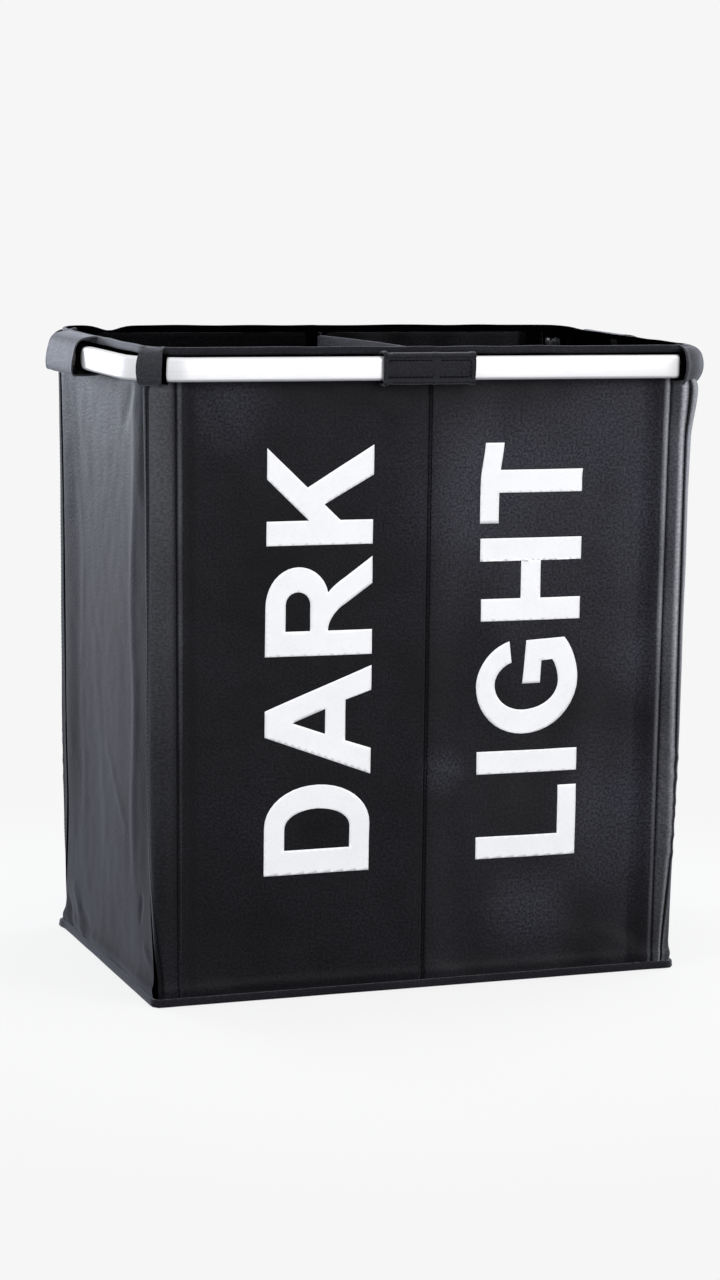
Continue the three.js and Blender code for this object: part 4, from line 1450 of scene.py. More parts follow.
# Channels of the corner rods

CHANNEL_RADIUS = 4.9 * MM
CHANNEL_WALL = 0.8 * MM
CHANNEL_SIDES = 18
CHANNEL_STEP = 7 * MM
CHANNEL_CREASE = 0.3 * MM
ROD_END = 3 * MM


class HAMPER_OT_channels(bpy.types.Operator):
    """Adds the four sewn channels that hold the corner rods"""

    bl_idname = "hamper.channels"
    bl_label = "Rod channels"

    def execute(self, context):
        used = materials()
        for end_name in ENDS:
            for side_name in SIDES:
                node = f"{end_name}_{side_name}_rod_channel"
                low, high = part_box(node)
                foot, head = rod_line(f"{end_name}_{side_name}_support_rod")
                obj = channel_tube(f"{end_name}_{side_name}_rod_sleeve", foot, head, low.z, high.z)
                finish_piece(obj, "bag", [used["inside"]], [node])
        return {"FINISHED"}


def rod_line(node):
    """The foot and head of a leaning rod's centre line, from the ends of its mesh."""
    points = [v.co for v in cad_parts[node].data.vertices]
    lowest, highest = min(p.z for p in points), max(p.z for p in points)
    ends = []
    for level in (lowest, highest):
        near = [p for p in points if abs(p.z - level) < ROD_END]
        ends.append(sum(near, Vector()) / len(near))
    return ends


def channel_tube(name, foot, head, low, high):
    """A soft tube of cloth round a rod, slightly creased."""
    rows, flat_rows = [], []
    for z in spaced(low, high, CHANNEL_STEP):
        centre = foot.lerp(head, (z - foot.z) / (head.z - foot.z))
        row, flat = [], []
        for i in range(CHANNEL_SIDES):
            angle = 2 * math.pi * i / CHANNEL_SIDES
            x, y = math.cos(angle), math.sin(angle)
            radius = CHANNEL_RADIUS + CHANNEL_CREASE * noise.noise(Vector((x * 2, y * 2, z * 40)))
            row.append(Vector((centre.x + radius * x, centre.y + radius * y, z)))
            flat.append((radius * angle, z))
        rows.append(row)
        flat_rows.append(flat)
    obj = mesh_from_rows(name, rows, flat_rows, close_rows=True)
    face_outwards(obj, foot.lerp(head, 0.5))
    return apply_solidify(obj, CHANNEL_WALL, -1.0)


# Handle tubes

def bar_lines(sizes):
    """Places of the tube's centre line: where it starts, bends and lies."""
    x = TUBE_HIGH.x - sizes.bar_thickness / 2
    y = TUBE_HIGH.y - sizes.bar_thickness / 2
    bend_x, bend_y = x - sizes.bar_bend, y - sizes.bar_bend
    arc = sizes.bar_bend * math.pi / 2
    return {
        "x": x, "y": y, "start": TUBE_LOW.x, "middle": (TUBE_LOW.z + TUBE_HIGH.z) / 2,
        "bend_x": bend_x, "bend_y": bend_y, "arc": arc, "side_middle": bend_x + arc + bend_y,
    }


def edit_select(mesh_edit, test):
    """Selects the vertices that pass a test, and the edges and faces between them."""
    for v in mesh_edit.verts:
        v.select_set(test(v.co))
    mesh_edit.select_flush(True)
    bmesh.update_edit_mesh(bpy.context.edit_object.data)


def handle_tube(name, sizes, side):
    """A flat oval tube bent into a U, drawn as a rounded outline that is pushed and spun along."""
    b = bar_lines(sizes)
    clear_selection()
    start = Vector((side * b["start"], -b["y"], b["middle"]))
    bpy.ops.mesh.primitive_plane_add(size=1.0, location=start, rotation=(0, math.pi / 2, 0))
    obj = bpy.context.object
    obj.name = obj.data.name = name
    obj.dimensions = (sizes.bar_height, sizes.bar_thickness, 0)
    bpy.ops.object.transform_apply(location=True, rotation=True, scale=True)
    bpy.ops.object.mode_set(mode="EDIT")
    bpy.ops.mesh.select_all(action="SELECT")
    bpy.ops.mesh.bevel(offset=sizes.bar_edge, segments=6, affect="VERTICES")
    bpy.ops.mesh.select_all(action="SELECT")
    bpy.ops.mesh.delete(type="ONLY_FACE")
    bpy.ops.mesh.select_all(action="SELECT")
    straight = b["bend_x"] - b["start"]
    bpy.ops.mesh.extrude_region_move(TRANSFORM_OT_translate={"value": (side * straight, 0, 0)})
    quarter_turn = -side * math.pi / 2
    front_centre = (side * b["bend_x"], -b["bend_y"], b["middle"])
    bpy.ops.mesh.spin(steps=20, angle=quarter_turn, center=front_centre, axis=(0, 0, 1))
    bpy.ops.mesh.extrude_region_move(TRANSFORM_OT_translate={"value": (0, 2 * b["bend_y"], 0)})
    rear_centre = (side * b["bend_x"], b["bend_y"], b["middle"])
    bpy.ops.mesh.spin(steps=20, angle=quarter_turn, center=rear_centre, axis=(0, 0, 1))
    bpy.ops.mesh.extrude_region_move(TRANSFORM_OT_translate={"value": (-side * straight, 0, 0)})
    bpy.ops.mesh.select_all(action="SELECT")
    bpy.ops.mesh.remove_doubles(threshold=0.01 * MM)
    bpy.ops.mesh.normals_make_consistent(inside=False)
    bpy.ops.object.mode_set(mode="OBJECT")
    point_tube_outwards(obj, b["middle"], -b["y"])
    apply_solidify(obj, sizes.bar_wall, -1.0)
    make_active(obj)
    bpy.ops.object.shade_smooth_by_angle(angle=math.radians(40))
    return obj


def point_tube_outwards(obj, middle, y_line):
    """Turns the skin's faces away from the centre line, judged on the front straight."""
    total = 0.0
    for p in obj.data.polygons:
        if p.center.y < y_line + 6 * MM:
            away = Vector((0, p.center.y - y_line, p.center.z - middle))
            total += away.dot(p.normal) * p.area
    if total < 0:
        obj.data.flip_normals()


class HAMPER_OT_tubes(bpy.types.Operator):
    """Adds the two bent tubes of the handles"""

    bl_idname = "hamper.tubes"
    bl_label = "Handle tubes"

    def execute(self, context):
        sizes = context.scene.hamper_sizes
        used = materials()
        for side_name, side in SIDES.items():
            obj = handle_tube(f"{side_name}_bent_tube", sizes, side)
            body = f"{side_name}_handle"
            finish_piece(obj, body, [used["tube"]], [f"{body}_tube"])
        return {"FINISHED"}


# Loops, wraps and sleeves

def bar_place(sizes, side, travel):
    """A point of a tube's centre line and its outward direction, by the distance from the middle
    of the front, measured towards that side and on to the rear."""
    b = bar_lines(sizes)
    z = b["middle"]
    arc = b["arc"]
    if travel < b["bend_x"]:
        return Vector((side * travel, -b["y"], z)), Vector((0, -1, 0))
    past = travel - b["bend_x"]
    if past < arc:
        angle = past / sizes.bar_bend
        out = Vector((side * math.sin(angle), -math.cos(angle), 0))
        return Vector((side * b["bend_x"], -b["bend_y"], z)) + out * sizes.bar_bend, out
    past -= arc
    if past < 2 * b["bend_y"]:
        return Vector((side * b["x"], -b["bend_y"] + past, z)), Vector((side, 0, 0))
    past -= 2 * b["bend_y"]
    if past < arc:
        angle = past / sizes.bar_bend
        out = Vector((side * math.cos(angle), math.sin(angle), 0))
        return Vector((side * b["bend_x"], b["bend_y"], z)) + out * sizes.bar_bend, out
    past -= arc
    return Vector((side * (b["bend_x"] - past), b["y"], z)), Vector((0, 1, 0))


STRAP_LINE_STEP = 1.6 * MM
STRAP_EDGE = 1.2 * MM
STRAP_EDGE_STEPS = (0.0, 0.5, 1.0, 2.0)
STRAP_EDGE_END = 3.4
STRAP_STEP = 3 * MM
STRAP_RIDGE_WIDTH = 1.8 * MM
STRAP_HEM = 0.3 * MM
STRAP_HEM_WIDTH = 2.4 * MM
STRAP_WANDER = 0.5 * MM
STRAP_FULLNESS = 0.4 * MM
STRAP_ARCH_HEIGHT = 13 * MM
STRAP_SMOOTH_BELOW = math.radians(60)


def strap(
    name, sizes, side, low, high, outline, closed, finishes,
    ridges=(), seed=0.0, waist=0.0, tone=0.0, arch=0.0,
):
    """A strap that goes round a tube. The outline is the strap's line as (outwards, height above
    the tube's middle), in millimetres, and low and high are the strap's two edges along the tube.
    Each ridge is a (place, height) along the tube. The waist is the share by which the strap
    narrows where it leaves and meets the bag, and the arch is how far its edges reach further
    along the tube above and below than in the middle."""
    line = soft_line([Vector((x, z)) * MM for x, z in outline], STRAP_LINE_STEP)
    around = [0.0]
    for a, c in zip(line, line[1:]):
        around.append(around[-1] + (c - a).length)
    middle = (low + high) / 2
    if closed:
        line = line[:-1]
    edge_end = STRAP_EDGE_END * STRAP_EDGE
    travels = [low + share * STRAP_EDGE for share in STRAP_EDGE_STEPS]
    travels += spaced(low + edge_end, high - edge_end, STRAP_STEP)
    travels += [high - share * STRAP_EDGE for share in reversed(STRAP_EDGE_STEPS)]
    rows, flat_rows = [], []
    for travel in travels:
        ridge = sum(rise * bell(travel - place, STRAP_RIDGE_WIDTH) for place, rise in ridges)
        hem = STRAP_HEM * (bell(travel - low, STRAP_HEM_WIDTH) + bell(high - travel, STRAP_HEM_WIDTH))
        row, flat = [], []
        for p, ring in zip(line, around):
            drawn_in = waist * abs(math.cos(math.pi * ring / around[-1])) ** 2
            wander = STRAP_WANDER * noise.noise(Vector((ring * 70, seed, travel > middle)))
            here = middle + (travel - middle) * (1 - drawn_in) + wander
            curve = min(1.0, abs(p.y) / STRAP_ARCH_HEIGHT) ** 3
            here += arch * curve * (travel - middle) / (high - middle)
            point, out = bar_place(sizes, side, here)
            fullness = STRAP_FULLNESS * noise.noise(Vector((travel * 60, ring * 70, seed)))
            away = Vector((p.x, p.y)).normalized() * (ridge + hem + fullness)
            row.append(point + out * (p.x + away.x) + Vector((0, 0, p.y + away.y)))
            flat.append((travel, ring))
        rows.append(row)
        flat_rows.append(flat)
    # One share of painted light for the whole strap: a faint painted highlight, or deepest painted shade
    # on the collars.
    tones = [[tone] * len(row) for row in rows]
    obj = mesh_from_rows(name, rows, flat_rows, close_rows=closed, tones=tones)
    face_outwards(obj, bar_place(sizes, side, middle)[0])
    apply_solidify(obj, sizes.strap_thickness, 0.0, finishes)
    make_active(obj)
    bpy.ops.object.shade_smooth_by_angle(angle=STRAP_SMOOTH_BELOW)
    return obj


LOOP_OUTLINE = [
    (-8.2, 17.6), (-6.2, 18.6), (-2.0, 17.8), (2.8, 15.6), (6.4, 12.0), (8.6, 6.0), (9.2, 0.0),
    (8.8, -6.0), (7.4, -11.6), (3.4, -14.2), (-2.0, -14.8), (-7.6, -14.6),
]
RIGHT_LOOP_OUTLINE = [
    (-8.2, 17.6), (-6.2, 18.8), (-1.6, 18.2), (4.0, 15.8), (7.8, 11.6), (9.6, 6.0), (10.4, 0.0),
    (9.6, -6.0), (6.6, -12.4), (2.4, -17.0), (-2.0, -19.0), (-7.8, -19.4),
]
WRAP_OUTLINE = [
    (-13.4, 17.6), (-10.4, 18.9), (-4.0, 18.4), (2.2, 17.0), (6.2, 14.6), (8.8, 10.6), (10.4, 5.0),
    (11.6, -1.0), (12.5, -7.0), (12.7, -12.0), (12.0, -15.4), (9.6, -16.6), (2.0, -16.6), (-8.0, -16.2),
    (-14.0, -15.4),
]
WRAP_START = 10 * MM
WRAP_LIP = 4 * MM
WRAP_ARCH = 9 * MM
# A black collar round the tube past the open edge of each loop and wrap: painted shade where the strap
# stands off.
COLLAR_OUTLINE = [
    (0.0, 12.4), (3.6, 12.1), (5.6, 9.6), (5.9, 4.0), (5.9, -4.0), (5.6, -9.6), (3.6, -12.1),
    (0.0, -12.4), (-3.6, -12.1), (-5.6, -9.6), (-5.9, 0.0), (-5.6, 9.6), (-3.6, 12.1), (0.0, 12.4),
]
COLLAR_REACH = 3.0 * MM
COLLAR_HIDDEN = 9 * MM
COLLAR_PAINTED_SHADE = -1.0
COLLAR_ARCH = 1.2 * MM
SLEEVE_OUTLINE = [
    (-6.2, 9.0), (-4.6, 12.9), (0.0, 13.8), (4.0, 13.9), (6.6, 12.9), (7.1, 11.2), (6.3, 9.6),
    (6.6, 4.0), (6.6, -4.0), (6.2, -9.8), (6.9, -11.4), (6.2, -13.0), (3.4, -13.9), (0.0, -13.8),
    (-4.4, -12.9), (-6.2, -9.0), (-6.5, 0.0), (-6.2, 9.0),
]
LEFT_LOOP_ANGLE = math.radians(40)
RIGHT_LOOP_ANGLE = math.radians(36)
RIGHT_LOOP_WIDTH = 28 * MM
LOOP_WAISTS = {"left": 0.10, "right": 0.22}
SLEEVE_SHIFT = 6.0 * MM
SLEEVE_ROW_IN = 5.0 * MM
SLEEVE_ROW_RISE = 7.6 * MM
SLEEVE_ROW_OUT = 7.4 * MM
SLEEVE_PIPINGS = {"left": 1.5 * MM, "right": 0.4 * MM}
SLEEVE_PIPING_IN = 2.4 * MM
SLEEVE_GROOVE_IN = 6.4 * MM
SLEEVE_GROOVE_SHARE = -0.5
STRAP_FOLD_IN = 1.6 * MM
STRAP_FOLD = 0.9 * MM
# Painted highlight on the loops, the wraps and the sleeves, as shares of the palest painted light.
STRAP_PAINTED_HIGHLIGHT = 0.06
WRAP_PAINTED_HIGHLIGHT = 0.12
SLEEVE_PAINTED_HIGHLIGHT = 0.016


class HAMPER_OT_loops(bpy.types.Operator):
    """Adds the corner loops and the wraps that hold the tubes to the bag"""

    bl_idname = "hamper.loops"
    bl_label = "Loops and wraps"

    def execute(self, context):
        sizes = context.scene.hamper_sizes
        used = materials()
        b = bar_lines(sizes)
        side_middle = b["side_middle"]
        finishes = [used["tape"], used["inside"]]
        shadow_collar_finishes = [used["inside"]]
        for side_name, side in SIDES.items():
            angle = LEFT_LOOP_ANGLE if side < 0 else RIGHT_LOOP_ANGLE
            half = (sizes.loop_width if side < 0 else RIGHT_LOOP_WIDTH) / 2
            front_corner = b["bend_x"] + sizes.bar_bend * angle
            for end_name, middle in (("front", front_corner), ("rear", 2 * side_middle - front_corner)):
                node = f"{side_name}_{end_name}_corner_loop"
                low, high = middle - half, middle + half
                front = end_name == "front"
                lip = low if front else high
                obj = strap(
                    f"{side_name}_{end_name}_corner_strap", sizes, side, low, high,
                    LOOP_OUTLINE if side < 0 else RIGHT_LOOP_OUTLINE, False, finishes,
                    ridges=[(lip + STRAP_FOLD_IN if front else lip - STRAP_FOLD_IN, STRAP_FOLD)],
                    seed=side * middle, waist=LOOP_WAISTS[side_name], tone=STRAP_PAINTED_HIGHLIGHT,
                )
                finish_piece(obj, f"{side_name}_handle", finishes, [node])
                press_flat(obj, sizes, side_name, side, middle)
                # A black collar of painted shade beside the loop's open edge.
                obj = strap(
                    f"{side_name}_{end_name}_loop_shadow_collar", sizes, side, lip - COLLAR_REACH,
                    lip + COLLAR_HIDDEN, COLLAR_OUTLINE, True, shadow_collar_finishes,
                    seed=5.0 * side, tone=COLLAR_PAINTED_SHADE, arch=COLLAR_ARCH,
                )
                finish_piece(obj, f"{side_name}_handle", shadow_collar_finishes, [node])
            node = f"{side_name}_side_wrap"
            start = side_middle + WRAP_START
            far = side_middle + sizes.wrap_length
            obj = strap(
                f"{side_name}_grip_wrap", sizes, side, start, far, WRAP_OUTLINE, False, finishes,
                seed=3.0 * side, tone=WRAP_PAINTED_HIGHLIGHT,
            )
            finish_piece(obj, f"{side_name}_handle", finishes, [node])
            press_flat(obj, sizes, side_name, side, (start + far) / 2)
            # A black collar of painted shade at the wrap's open front edge.
            obj = strap(
                f"{side_name}_wrap_shadow_collar", sizes, side, start - WRAP_LIP, start + COLLAR_HIDDEN,
                COLLAR_OUTLINE, True, shadow_collar_finishes, seed=4.0 * side, tone=COLLAR_PAINTED_SHADE, arch=WRAP_ARCH,
            )
            finish_piece(obj, f"{side_name}_handle", shadow_collar_finishes, [node])
        return {"FINISHED"}


def press_flat(obj, sizes, side_name, side, travel):
    """Finds the tube's point at a place along it and gives the strap a mesh of its own."""
    place = tuple(bar_place(sizes, side, travel)[0])
    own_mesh(obj)


class HAMPER_OT_sleeves(bpy.types.Operator):
    """Adds the cloth sleeves over the two hinges, in halves"""

    bl_idname = "hamper.sleeves"
    bl_label = "Hinge sleeves"

    def execute(self, context):
        sizes = context.scene.hamper_sizes
        used = materials()
        finishes = [used["tape"], used["inside"]]
        reach = sizes.sleeve_length / 2
        for end_name, end in ENDS.items():
            for side_name, side in SIDES.items():
                name = f"{end_name}_sleeve_{side_name}_half"
                length_here = reach - side * SLEEVE_SHIFT
                low, high = (0.0, length_here) if end < 0 else rear_span(sizes, length_here)
                tip = high if end < 0 else low
                piping = SLEEVE_PIPINGS[side_name]
                ridges = [
                    (tip + end * SLEEVE_PIPING_IN, piping),
                    (tip + end * SLEEVE_GROOVE_IN, SLEEVE_GROOVE_SHARE * piping),
                ]
                obj = strap(
                    name, sizes, side, low, high, SLEEVE_OUTLINE, True, finishes,
                    ridges=ridges, seed=2.0 * side + end, tone=SLEEVE_PAINTED_HIGHLIGHT,
                )
                sleeve_blend(obj, sizes, side_name, side, end)
                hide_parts(f"{end_name}_centre_sleeve")
        return {"FINISHED"}


def sleeve_blend(obj, sizes, side_name, side, end):
    """Bakes the place of a piece of a sleeve into its mesh."""
    b = bar_lines(sizes)
    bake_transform(obj)


def rear_span(sizes, reach):
    """The two ends of a rear sleeve half, along the tube's line."""
    total = 2 * bar_lines(sizes)["side_middle"]
    return total - reach, total


# Boards

BOARD_EDGE = 0.9 * MM
BOARD_SMOOTH_BELOW = math.radians(35)


class HAMPER_OT_boards(bpy.types.Operator):
    """Adds the two covered boards that lie in the bins"""

    bl_idname = "hamper.boards"
    bl_label = "Base boards"

    def execute(self, context):
        used = materials()
        for side_name, side in SIDES.items():
            node = f"{side_name}_base_board"
            low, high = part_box(node)
            clear_selection()
            bpy.ops.mesh.primitive_cube_add(size=1.0, location=(low + high) / 2)
            obj = bpy.context.object
            obj.name = obj.data.name = f"{side_name}_covered_board"
            obj.dimensions = high - low
            bpy.ops.object.transform_apply(location=True, rotation=True, scale=True)
            bpy.ops.object.mode_set(mode="EDIT")
            bpy.ops.mesh.select_mode(type="EDGE")
            bpy.ops.mesh.select_all(action="DESELECT")
            work = bmesh.from_edit_mesh(obj.data)
            outer_x = high.x if side > 0 else low.x
            for edge in work.edges:
                a, c = edge.verts[0].co, edge.verts[1].co
                upright = abs(a.x - c.x) < MM and abs(a.y - c.y) < MM
                if upright and abs(a.x - outer_x) < MM:
                    edge.select_set(True)
            bmesh.update_edit_mesh(obj.data)
            end_points = [v.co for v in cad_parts[node].data.vertices if abs(v.co.y - high.y) < MM]
            corner_cut = abs(outer_x) - max(abs(p.x) for p in end_points)
            bpy.ops.mesh.bevel(offset=corner_cut, segments=1, affect="EDGES")
            bpy.ops.mesh.select_all(action="SELECT")
            bpy.ops.mesh.bevel(offset=BOARD_EDGE, segments=3, affect="EDGES")
            bpy.ops.object.mode_set(mode="OBJECT")
            bpy.ops.object.shade_smooth_by_angle(angle=BOARD_SMOOTH_BELOW)
            finish_piece(obj, f"{side_name}_board", [used["board"]], [node])
        return {"FINISHED"}


# Words on the front

BOW_PULL = 0.56


def bow(start, corner, finish, steps=10):
    """Points of a round stretch from start to finish, swelling towards a corner."""
    a, k, c = Vector(start), Vector(corner), Vector(finish)
    first, second = a.lerp(k, BOW_PULL), c.lerp(k, BOW_PULL)
    points = []
    for i in range(1, steps + 1):
        t = i / steps
        s = 1 - t
        points.append(tuple(a * s ** 3 + first * 3 * t * s ** 2 + second * 3 * t * t * s + c * t ** 3))
    return points


# Letter outlines in millimetres. Two numbers are a point, as (reading direction, height above the
# base line). Four or five are a round stretch: the corner it swells towards, its end and its steps.
LETTERS = {
    "D": [
        [(0, 0), (0, 103), (45, 103), (83.6, 103, 83.6, 51.5), (83.6, 0, 45, 0)],
        [(23, 19.5), (23, 83.5), (43, 83.5), (61.3, 83.5, 61.3, 51.5), (61.3, 19.5, 43, 19.5)],
    ],
    "A": [
        [(0, 0), (38.1, 103), (62.3, 103), (101.8, 0), (78.6, 0), (70.4, 25), (32.5, 25),
         (24.3, 0)],
        [(39.1, 44.5), (50.4, 76.3), (62.6, 44.5)],
    ],
    "R": [
        [(0, 0), (0, 103), (46, 103), (82, 103, 82, 71.5), (82, 47, 58, 43), (65, 38, 71, 28, 5),
         (90.7, 0), (65.7, 0), (45, 30), (36, 43, 23, 43, 6), (23, 0)],
        [(23, 60), (23, 83.7), (47, 83.7), (59, 83.7, 59, 71.8, 6), (59, 60, 47, 60, 6)],
    ],
    "K": [
        [(0, 0), (0, 103), (22.5, 103), (22.5, 62), (60.9, 103), (89.4, 103), (52.8, 63.8),
         (91.2, 0), (63.7, 0), (37.1, 47.3), (22.5, 31.5), (22.5, 0)],
    ],
    "L": [
        [(0, 0), (0, 101.5), (21, 101.5), (21, 19), (67.5, 19), (67.5, 0)],
    ],
    "I": [
        [(0, 0), (0, 102), (21.5, 102), (21.5, 0)],
    ],
    "G": [
        [(88.3, 71.3), (78, 104, 46.9, 104), (0, 104, 0, 56.5), (0, 1, 52, 1), (76, 1, 90.7, 15.3),
         (88.7, 54.2), (47.6, 57.5), (47.9, 39.5), (69, 38.4), (70, 27.4), (62, 21, 49.3, 21, 5),
         (22.8, 21, 22.8, 57), (22.8, 85.5, 47.6, 85.5), (62, 85.5, 68, 68.8, 6)],
    ],
    "H": [
        [(0, 0), (0, 100.5), (21, 100.5), (21, 60.8), (56.5, 60.8), (56.5, 102), (77.8, 102),
         (77.8, 0), (56.5, 0), (56.5, 41), (21, 41), (21, 0)],
    ],
    "T": [
        [(0, 84.2), (0, 102.7), (75.2, 102.7), (75.2, 84.2), (49.9, 84.2), (49.9, 0.5), (28.6, 0.5),
         (28.6, 84.2)],
    ],
}
# Where each letter starts above the floor, and the base line across the front, in millimetres.
WORD_PLACES = {
    "dark": (-53.5, [("D", 115.5), ("A", 206.8), ("R", 319.0), ("K", 421.0)]),
    "light": (155.5, [("L", 118.7), ("I", 199.8), ("G", 237.2), ("H", 344.9), ("T", 436.7)]),
}
LETTER_STEP = 5 * MM
CLOTH_PULL = 4.5 * MM
CLOTH_PULL_START = 475 * MM
CLOTH_PULL_RAMP = 40 * MM
LETTER_THICKNESS = 0.2 * MM
LETTER_WELD = 0.02 * MM


def letter_mesh(name, loops, base_line, start):
    """A letter as a flat mesh in (across the front, height), cut into short edges."""
    curve = bpy.data.curves.new(name, "CURVE")
    curve.dimensions = "2D"
    curve.fill_mode = "BOTH"
    for loop in map(full_outline, loops):
        spline = curve.splines.new("POLY")
        spline.points.add(len(loop) - 1)
        spline.use_cyclic_u = True
        for point, (read, rise) in zip(spline.points, loop):
            point.co = ((base_line - rise) * MM, (start + read) * MM, 0, 1)
    obj = bpy.data.objects.new(name, curve)
    bpy.context.scene.collection.objects.link(obj)
    make_active(obj)
    bpy.ops.object.convert(target="MESH")
    obj = bpy.context.object
    work = bmesh.new()
    work.from_mesh(obj.data)
    bmesh.ops.remove_doubles(work, verts=work.verts, dist=LETTER_WELD)
    for _ in range(6):
        bmesh.ops.triangulate(work, faces=work.faces)
        long_edges = [e for e in work.edges if e.calc_length() > LETTER_STEP]
        if not long_edges:
            break
        bmesh.ops.subdivide_edges(work, edges=long_edges, cuts=1)
    bmesh.ops.triangulate(work, faces=work.faces)
    inner_edges = [e for e in work.edges if not e.is_boundary]
    bmesh.ops.beautify_fill(work, faces=work.faces, edges=inner_edges)
    work.to_mesh(obj.data)
    work.free()
    return obj


def full_outline(items):
    """The points of an outline whose round stretches are given by their corners."""
    points = []
    for item in items:
        if len(item) == 2:
            points.append(item)
        else:
            points += bow(points[-1], item[:2], item[2:4], *item[4:])
    return points


class HAMPER_OT_words(bpy.types.Operator):
    """Adds the two sorting words, printed up the front"""

    bl_idname = "hamper.words"
    bl_label = "Sorting words"

    def execute(self, context):
        sizes = context.scene.hamper_sizes
        shape = BagShape(sizes)
        used = materials()
        for word, (base_line, letters) in WORD_PLACES.items():
            for letter, start in letters:
                obj = letter_mesh(f"print_{word}_{letter}", LETTERS[letter], base_line, start)
                for v in obj.data.vertices:
                    across, z = v.co.x, v.co.y
                    if word == "light":
                        across += CLOTH_PULL * smooth((z - CLOTH_PULL_START) / CLOTH_PULL_RAMP)
                    v.co = shape.front_point(across, z, sizes.print_lift)
                obj.data.update()
                face_outwards(obj, Vector((0, 0, sizes.bag_height / 2)))
                apply_solidify(obj, LETTER_THICKNESS, -1.0)
                obj.data.shade_smooth()
                finish_piece(obj, "bag", [used["words"]])
        return {"FINISHED"}


# Stitches

THREAD_SIDES = 6
THREAD_RADIUS = 0.48 * MM
THREAD_END_INSET = 0.14 * MM
THREAD_END_DEPTH = 0.22 * MM
THREAD_END_DIP = 0.22 * MM
THREAD_END_REACH = 0.3 * MM
THREAD_LIFT = 0.1 * MM
SEAM_ROW_STEP = 6 * MM
SEAM_ROW_FOOT = 2 * MM
SEAM_ROW_TOP = 1 * MM
MIDDLE_ROW_IN = 2.4 * MM
HEM_ROW_RISE = 4 * MM
HEM_ROW_OUT = 1.4 * MM
BINDING_ROW_HEIGHT = 4.6 * MM
BINDING_ROW_OUT = BINDING_PROUD + 0.05 * MM
WRAP_ROW_OUT = 8.6 * MM
WRAP_ROW_HEIGHT = 10.6 * MM
WRAP_ROW_START = 3 * MM
WRAP_ROW_END = 4 * MM
WRAP_ROW_STEP = 5 * MM
SLEEVE_ROW_START = 3 * MM
SLEEVE_ROW_STEP = 4 * MM
SLEEVE_ROW_TURN_STEP = 3 * MM


def stitch_model(sizes):
    """One stitch: a rounded bit of thread whose ends dip into the cloth."""
    clear_selection()
    bpy.ops.mesh.primitive_cylinder_add(
        vertices=THREAD_SIDES, radius=THREAD_RADIUS, depth=sizes.stitch_length,
        rotation=(0, math.pi / 2, 0),
    )
    obj = bpy.context.object
    bpy.ops.object.transform_apply(location=True, rotation=True, scale=True)
    bpy.ops.object.mode_set(mode="EDIT")
    bpy.ops.mesh.select_all(action="DESELECT")
    work = bmesh.from_edit_mesh(obj.data)
    for face in work.faces:
        face.select_set(len(face.verts) == THREAD_SIDES)
    bmesh.update_edit_mesh(obj.data)
    bpy.ops.mesh.inset(thickness=THREAD_END_INSET, depth=THREAD_END_DEPTH)
    bpy.ops.mesh.select_all(action="DESELECT")
    edit_select(work, lambda co: abs(co.x) > sizes.stitch_length / 2 - THREAD_END_REACH)
    bpy.ops.transform.translate(value=(0, 0, -THREAD_END_DIP))
    bpy.ops.object.mode_set(mode="OBJECT")
    return obj


def sew(name, model, places, sizes, material, body="bag"):
    """Copies the stitch along a line of (point, outward) places, a stitch pitch apart."""
    points, faces = [], []
    model_points = [v.co.copy() for v in model.data.vertices]
    model_faces = [tuple(p.vertices) for p in model.data.polygons]
    pitch = sizes.stitch_pitch
    travelled = 0.0
    due = pitch / 2
    for (a, out_a), (b, out_b) in zip(places, places[1:]):
        span = (b - a).length
        while span > 0 and due <= travelled + span:
            share = (due - travelled) / span
            middle = a.lerp(b, share)
            along = (b - a).normalized()
            out = out_a.lerp(out_b, share).normalized()
            across = out.cross(along).normalized()
            out = along.cross(across)
            turn = Matrix((along, across, out)).transposed()
            base = len(points)
            points += [middle + turn @ p for p in model_points]
            faces += [tuple(base + i for i in f) for f in model_faces]
            due += pitch
        travelled += span
    mesh = bpy.data.meshes.new(name)
    mesh.from_pydata([tuple(p) for p in points], [], faces)
    mesh.update()
    mesh.shade_smooth()
    obj = bpy.data.objects.new(name, mesh)
    bpy.context.scene.collection.objects.link(obj)
    return finish_piece(obj, body, [material])


